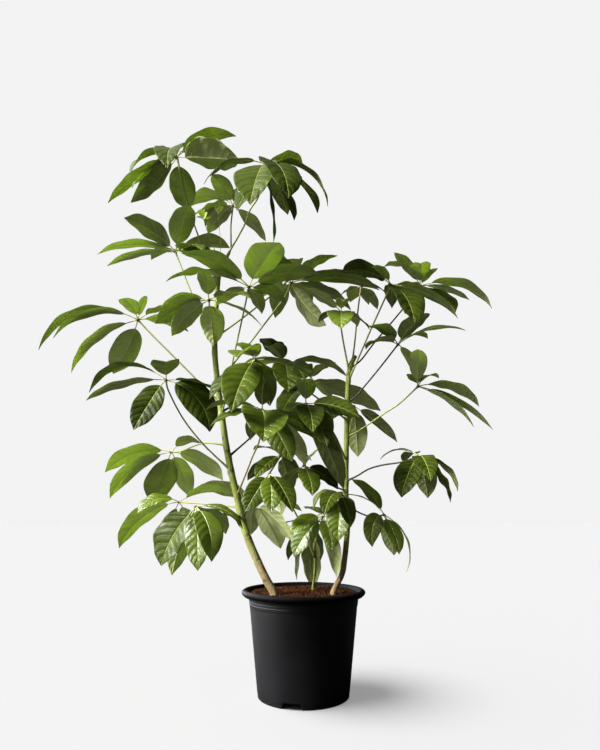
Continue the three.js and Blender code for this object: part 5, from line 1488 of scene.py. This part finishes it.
def plastic_material():
    """Black moulded plastic with scuffs, dust and a duller lip."""
    material, tree, shader = new_material("black_plastic")
    marks = use_group(tree, mottle, {"Cloud Scale": 9.0, "Grain Scale": 240.0, "Contrast": 2.2})
    fine = use_group(tree, mottle, {"Cloud Scale": 90.0, "Grain Scale": 1600.0, "Contrast": 1.6})
    place = place_of(tree)
    level_lines = add_node(tree, "ShaderNodeMapping", {"Vector": place, "Scale": (3.0, 3.0, 130.0)})
    scuff_noise = {"Vector": level_lines.outputs["Vector"], "Scale": 3.0, "Detail": 5.0, "Roughness": 0.7}
    scuffs = add_node(tree, "ShaderNodeTexNoise", scuff_noise).outputs["Fac"]
    scuff = ramp_of(tree, scuffs, *SCUFF_FROM)
    upward = parts_of(tree, add_node(tree, "ShaderNodeNewGeometry").outputs["Normal"])["Z"]
    dust = product_of(tree, ramp_of(tree, upward, *DUST_FROM), marks["Cloud"])
    color = blend_of(tree, marks["Cloud"], (0.0022, 0.0022, 0.0027, 1), (0.0040, 0.0040, 0.0047, 1))
    color = blend_of(tree, product_of(tree, dust, DUST_SHARE), color, (0.10, 0.085, 0.07, 1))
    color = blend_of(tree, product_of(tree, scuff, SCUFF_SHARE), color, (0.09, 0.09, 0.092, 1))
    rough = scaled_onto(tree, marks["Cloud"], CLOUD_WEAR, PLASTIC_ROUGHNESS)
    rough = scaled_onto(tree, scuff, SCUFF_WEAR, rough)
    height = scaled_onto(tree, scuffs, SCUFF_RELIEF, fine["Grain"])
    shine = ramp_of(tree, parts_of(tree, place)["Z"], *DULL_FROM, WALL_SHINE, LIP_SHINE)
    drive(tree, shader, Base_Color=color, Roughness=rough, Specular_IOR_Level=shine,
          Normal=bump_of(tree, height, PLASTIC_RELIEF))
    return material


black_plastic = plastic_material()
print("plastic:", len(black_plastic.node_tree.nodes), "nodes")

# %% The drain notches
POT_SIDES = 180
NOTCH_COUNT, NOTCH_HEIGHT = 3, 11.5
NOTCH_HALF_TOP, NOTCH_HALF_FOOT = 17.0, 22.0  # mm, half widths
NOTCH_AZIMUTH = -104.0  # degrees, of the notch that faces the viewer
NOTCH_MARGIN = 4.0  # mm inside the foot ring that is drawn up with it
NOTCH_CLEARANCE = 0.7  # degrees from a notch's corners where no other column of points is
WHOLE_FROM = 14.0  # mm, above this the wall is whole all round


def notch_reach(half):
    """How far a notch's corner is from its middle, in degrees."""
    return math.degrees(math.asin(half / FOOT_RADIUS))


def pot_angles():
    """Headings round the pot in degrees, even all round, with the corners of the notches among them."""
    middles = NOTCH_AZIMUTH + 360 / NOTCH_COUNT * np.arange(NOTCH_COUNT)
    corners = np.concatenate([(middles + side * notch_reach(half)) % 360
                              for side in (-1, 1) for half in (NOTCH_HALF_TOP, NOTCH_HALF_FOOT)])
    even = np.arange(POT_SIDES) * 360 / POT_SIDES
    apart = np.abs((even[:, None] - corners + 180) % 360 - 180).min(1)
    return np.sort(np.concatenate([even[apart > NOTCH_CLEARANCE], corners]))


def notched(profile, angles):
    """The profile turned round the axis, with the foot drawn up over each notch."""
    inner = profile[1:-1]
    turn = np.radians(angles)
    radius, height = inner[:, 0][:, None], inner[:, 1][:, None]
    spacing = 360 / NOTCH_COUNT
    gap = np.abs((angles - NOTCH_AZIMUTH + spacing / 2) % spacing - spacing / 2)
    foot_reach, top_reach = notch_reach(NOTCH_HALF_FOOT), notch_reach(NOTCH_HALF_TOP)
    lift = NOTCH_HEIGHT * np.clip((foot_reach - gap) / (foot_reach - top_reach), 0, 1)
    foot = (radius > FOOT_RADIUS - FOOT_WIDTH - NOTCH_MARGIN) & (height < WHOLE_FROM)
    drawn_up = np.where(foot, lift + height * (WHOLE_FROM - lift) / WHOLE_FROM, height)
    return np.stack([radius * np.cos(turn), radius * np.sin(turn), drawn_up], 2)


print("a notch is", round(2 * notch_reach(NOTCH_HALF_TOP)), "degrees wide at its top")

# %% [markdown]
# The suns were set up before there was a pot, so only now can they be told about it: it alone throws a
# shadow on the floor, it takes no light from below, and the edge sun lights nothing else.

# %% The pot's mesh and its light
SHARP_FROM = 38  # degrees between two faces from which their edge stays sharp

pot = make_piece("nursery_pot", [(loft(notched(profile, pot_angles()), {}), 0)], [black_plastic])
pot.data.set_sharp_from_angle(angle=math.radians(SHARP_FROM))
stands_for(pot, "black_plastic", "pot")
shadow_makers.objects.link(pot)
plant_glow.light_linking.receiver_collection.objects.link(pot)
plant_glow.light_linking.receiver_collection.collection_objects[-1].light_linking.link_state = "EXCLUDE"
edge_sun.light_linking.receiver_collection = linked("edge_sun_lights", "INCLUDE", pot)
print(pot.name, len(pot.data.polygons), "faces")

# %% [markdown]
# ## Soil
# Potting soil is bark, peat and fibre: a bed of lumps with loose crumbs and threads on top. The bed is one
# body with a noisy top. The crumbs are many small irregular stones of soil, larger ones rarer, half sunk in
# the bed, and the threads are thin bent rods lying on it.

# %% Soil material
SOIL_SHADE = 0.6  # how strongly the mottle darkens it
FLECK_FROM, FLECK_SHARE = (0.72, 0.95), 0.4  # of the grain, and how strongly the pale flecks show
SOIL_RELIEF = 0.0012  # m


def soil_material():
    """Moist potting soil, in the tone that each crumb carries; on the bed this holds painted shade in the
    hollows.
    """
    material, tree, shader = new_material("potting_soil")
    tone_and_painted_shade = parts_of(tree, mesh_field(tree, "crumb"))["X"]
    marks = use_group(tree, mottle, {"Cloud Scale": 160.0, "Grain Scale": 1300.0, "Contrast": 2.6})
    color = blend_of(tree, tone_and_painted_shade, (0.006, 0.002, 0.0008, 1), (0.17, 0.060, 0.018, 1))
    color = blend_of(tree, product_of(tree, marks["Cloud"], SOIL_SHADE), color, (0.014, 0.005, 0.002, 1))
    flecks = ramp_of(tree, marks["Grain"], *FLECK_FROM)
    color = blend_of(tree, product_of(tree, flecks, FLECK_SHARE), color, (0.26, 0.13, 0.06, 1))
    drive(tree, shader, Base_Color=color, Normal=bump_of(tree, marks["Grain"], SOIL_RELIEF))
    shader.inputs["Roughness"].default_value = 0.95
    shader.inputs["Specular IOR Level"].default_value = 0.1
    return material


potting_soil = soil_material()
print("soil:", len(potting_soil.node_tree.nodes), "nodes")

# %% The bed of soil
BED_SIDES, BED_RINGS = 200, 84
BED_LIFT = 3.2  # mm, the height of its lumps
BED_NOISES = ((0.012, 3.1, 0.35), (0.11, 7.7, 0.45), (0.42, 1.9, 0.25))  # fineness, slice and share
BED_SHOULDER, BED_GAP = 6.0, 0.5  # mm, from its top down to where its side ends, and from side to pot
BED_CHAMFER = 3.5  # mm, how far the foot of its side is drawn in
BED_EDGE, BED_MIDDLE = 0.4, 1.2  # mm, its top's outermost ring from the side, and the innermost's radius
BED_WARMTH, PAINTED_RELIEF_SHADE = 0.35, 0.25  # the bed's own tone, and the painted shade that darkens its hollows and lightens its lumps


def bed_height(x, y):
    """The height of the bed at a place, in mm: a low swell with lumps and grit on it."""
    swell, lumps, grit = (share * noise.noise(Vector((x * fineness, y * fineness, cut)))
                          for fineness, cut, share in BED_NOISES)
    return SOIL_TOP + BED_LIFT * (swell + lumps + grit)


def bed_sections():
    """From the floor of the pot, up its wall and in over the top."""
    angle = angles_round(BED_SIDES)
    ring = np.stack([np.cos(angle), np.sin(angle)], 1)
    low, shoulder = RECESS + WALL + BED_GAP, SOIL_TOP - BED_SHOULDER
    edge = outer_radius(shoulder) - WALL - BED_GAP
    levels = [(outer_radius(low) - WALL - BED_CHAMFER, low), (edge, shoulder)]
    sections = [np.column_stack([ring * radius, np.full(BED_SIDES, height)]) for radius, height in levels]
    for radius in np.linspace(edge - BED_EDGE, BED_MIDDLE, BED_RINGS):
        places = ring * radius
        sections.append(np.column_stack([places, [bed_height(x, y) for x, y in places]]))
    return np.array(sections)


sections = bed_sections()
# The bed is painted darker in its hollows and lighter on its lumps: painted shade and light on its own
# tone.
bed_tone_and_painted_shade = BED_WARMTH + PAINTED_RELIEF_SHADE * (sections[:, :, 2:3] - SOIL_TOP) / BED_LIFT
bed_body = loft(sections, {"crumb": np.clip(np.repeat(bed_tone_and_painted_shade, 3, 2), 0, 1)})
bed = make_piece("soil_bed", [(bed_body, 0)], [potting_soil])
stands_for(bed, "potting_soil", "soil")
print(bed.name, len(bed.data.polygons), "faces")

# %% Crumbs and threads on the bed
CRUMB_COUNT, THREAD_COUNT = 1700, 130
CRUMB_RINGS, CRUMB_SIDES, CRUMB_CAP = 5, 8, 0.25
CRUMB_LEAST, CRUMB_SPREAD = 0.8, 2.6  # mm, the smallest radius, and how much larger the largest is
THREAD_RINGS, THREAD_SIDES = 9, 6
THREAD_LIFT, THREAD_MARGIN = 0.7, 12.0  # mm, of its middle line over the bed, and from pot and stems
stem_feet = [(stem_points(stem)[0], stem["radius"][0]) for stem in STEMS.values()]
soil_rng = np.random.default_rng(11)


def free_place(margin):
    """A random place on the bed, clear of the stems."""
    while True:
        radius = (outer_radius(SOIL_TOP) - WALL - margin) * math.sqrt(soil_rng.random())
        turn = soil_rng.uniform(0, 2 * math.pi)
        x, y = radius * math.cos(turn), radius * math.sin(turn)
        if all(math.hypot(x - foot[0], y - foot[1]) > width + margin for foot, width in stem_feet):
            return x, y


def crumb_body():
    """A small irregular lump, large ones rarer, sunk a little in the bed."""
    size = CRUMB_LEAST + CRUMB_SPREAD * soil_rng.random() ** 3
    x, y = free_place(size + 1)
    lump = round_knob(CRUMB_RINGS, CRUMB_SIDES, CRUMB_CAP, start=soil_rng.uniform(0, 1))
    lump = lump * soil_rng.uniform(0.72, 1.2, (CRUMB_RINGS, CRUMB_SIDES, 1))
    lump = lump * soil_rng.uniform((0.7, 0.7, 0.5), (1.3, 1.3, 0.9))
    place = np.array([x, y, bed_height(x, y) + 0.15 * size])
    return loft(place + size * lump, {"crumb": np.full(lump.shape, soil_rng.random() ** 1.3)})


def thread_body():
    """A thin bent fibre that lies on the bed."""
    x, y = free_place(THREAD_MARGIN)
    turn, bend = soil_rng.uniform(0, 2 * math.pi), soil_rng.uniform(-0.9, 0.9)
    length = soil_rng.uniform(5, 15)
    steps = np.linspace(-0.5, 0.5, THREAD_RINGS)
    turns = turn + bend * steps
    xs, ys = x + length * steps * np.cos(turns), y + length * steps * np.sin(turns)
    zs = [bed_height(a, b) + THREAD_LIFT for a, b in zip(xs, ys)]
    radii = np.full(THREAD_RINGS, soil_rng.uniform(0.18, 0.38))
    sections = round_bar(np.column_stack([xs, ys, zs]), radii, THREAD_SIDES)
    return loft(sections, {"crumb": np.full(sections.shape, soil_rng.uniform(0.5, 1.0))})


loose = [(crumb_body(), 0) for _ in range(CRUMB_COUNT)]
loose += [(thread_body(), 0) for _ in range(THREAD_COUNT)]
crumbs = make_piece("soil_crumbs", loose, [potting_soil])
stands_for(crumbs, "potting_soil")
print(crumbs.name, len(crumbs.data.polygons), "faces")
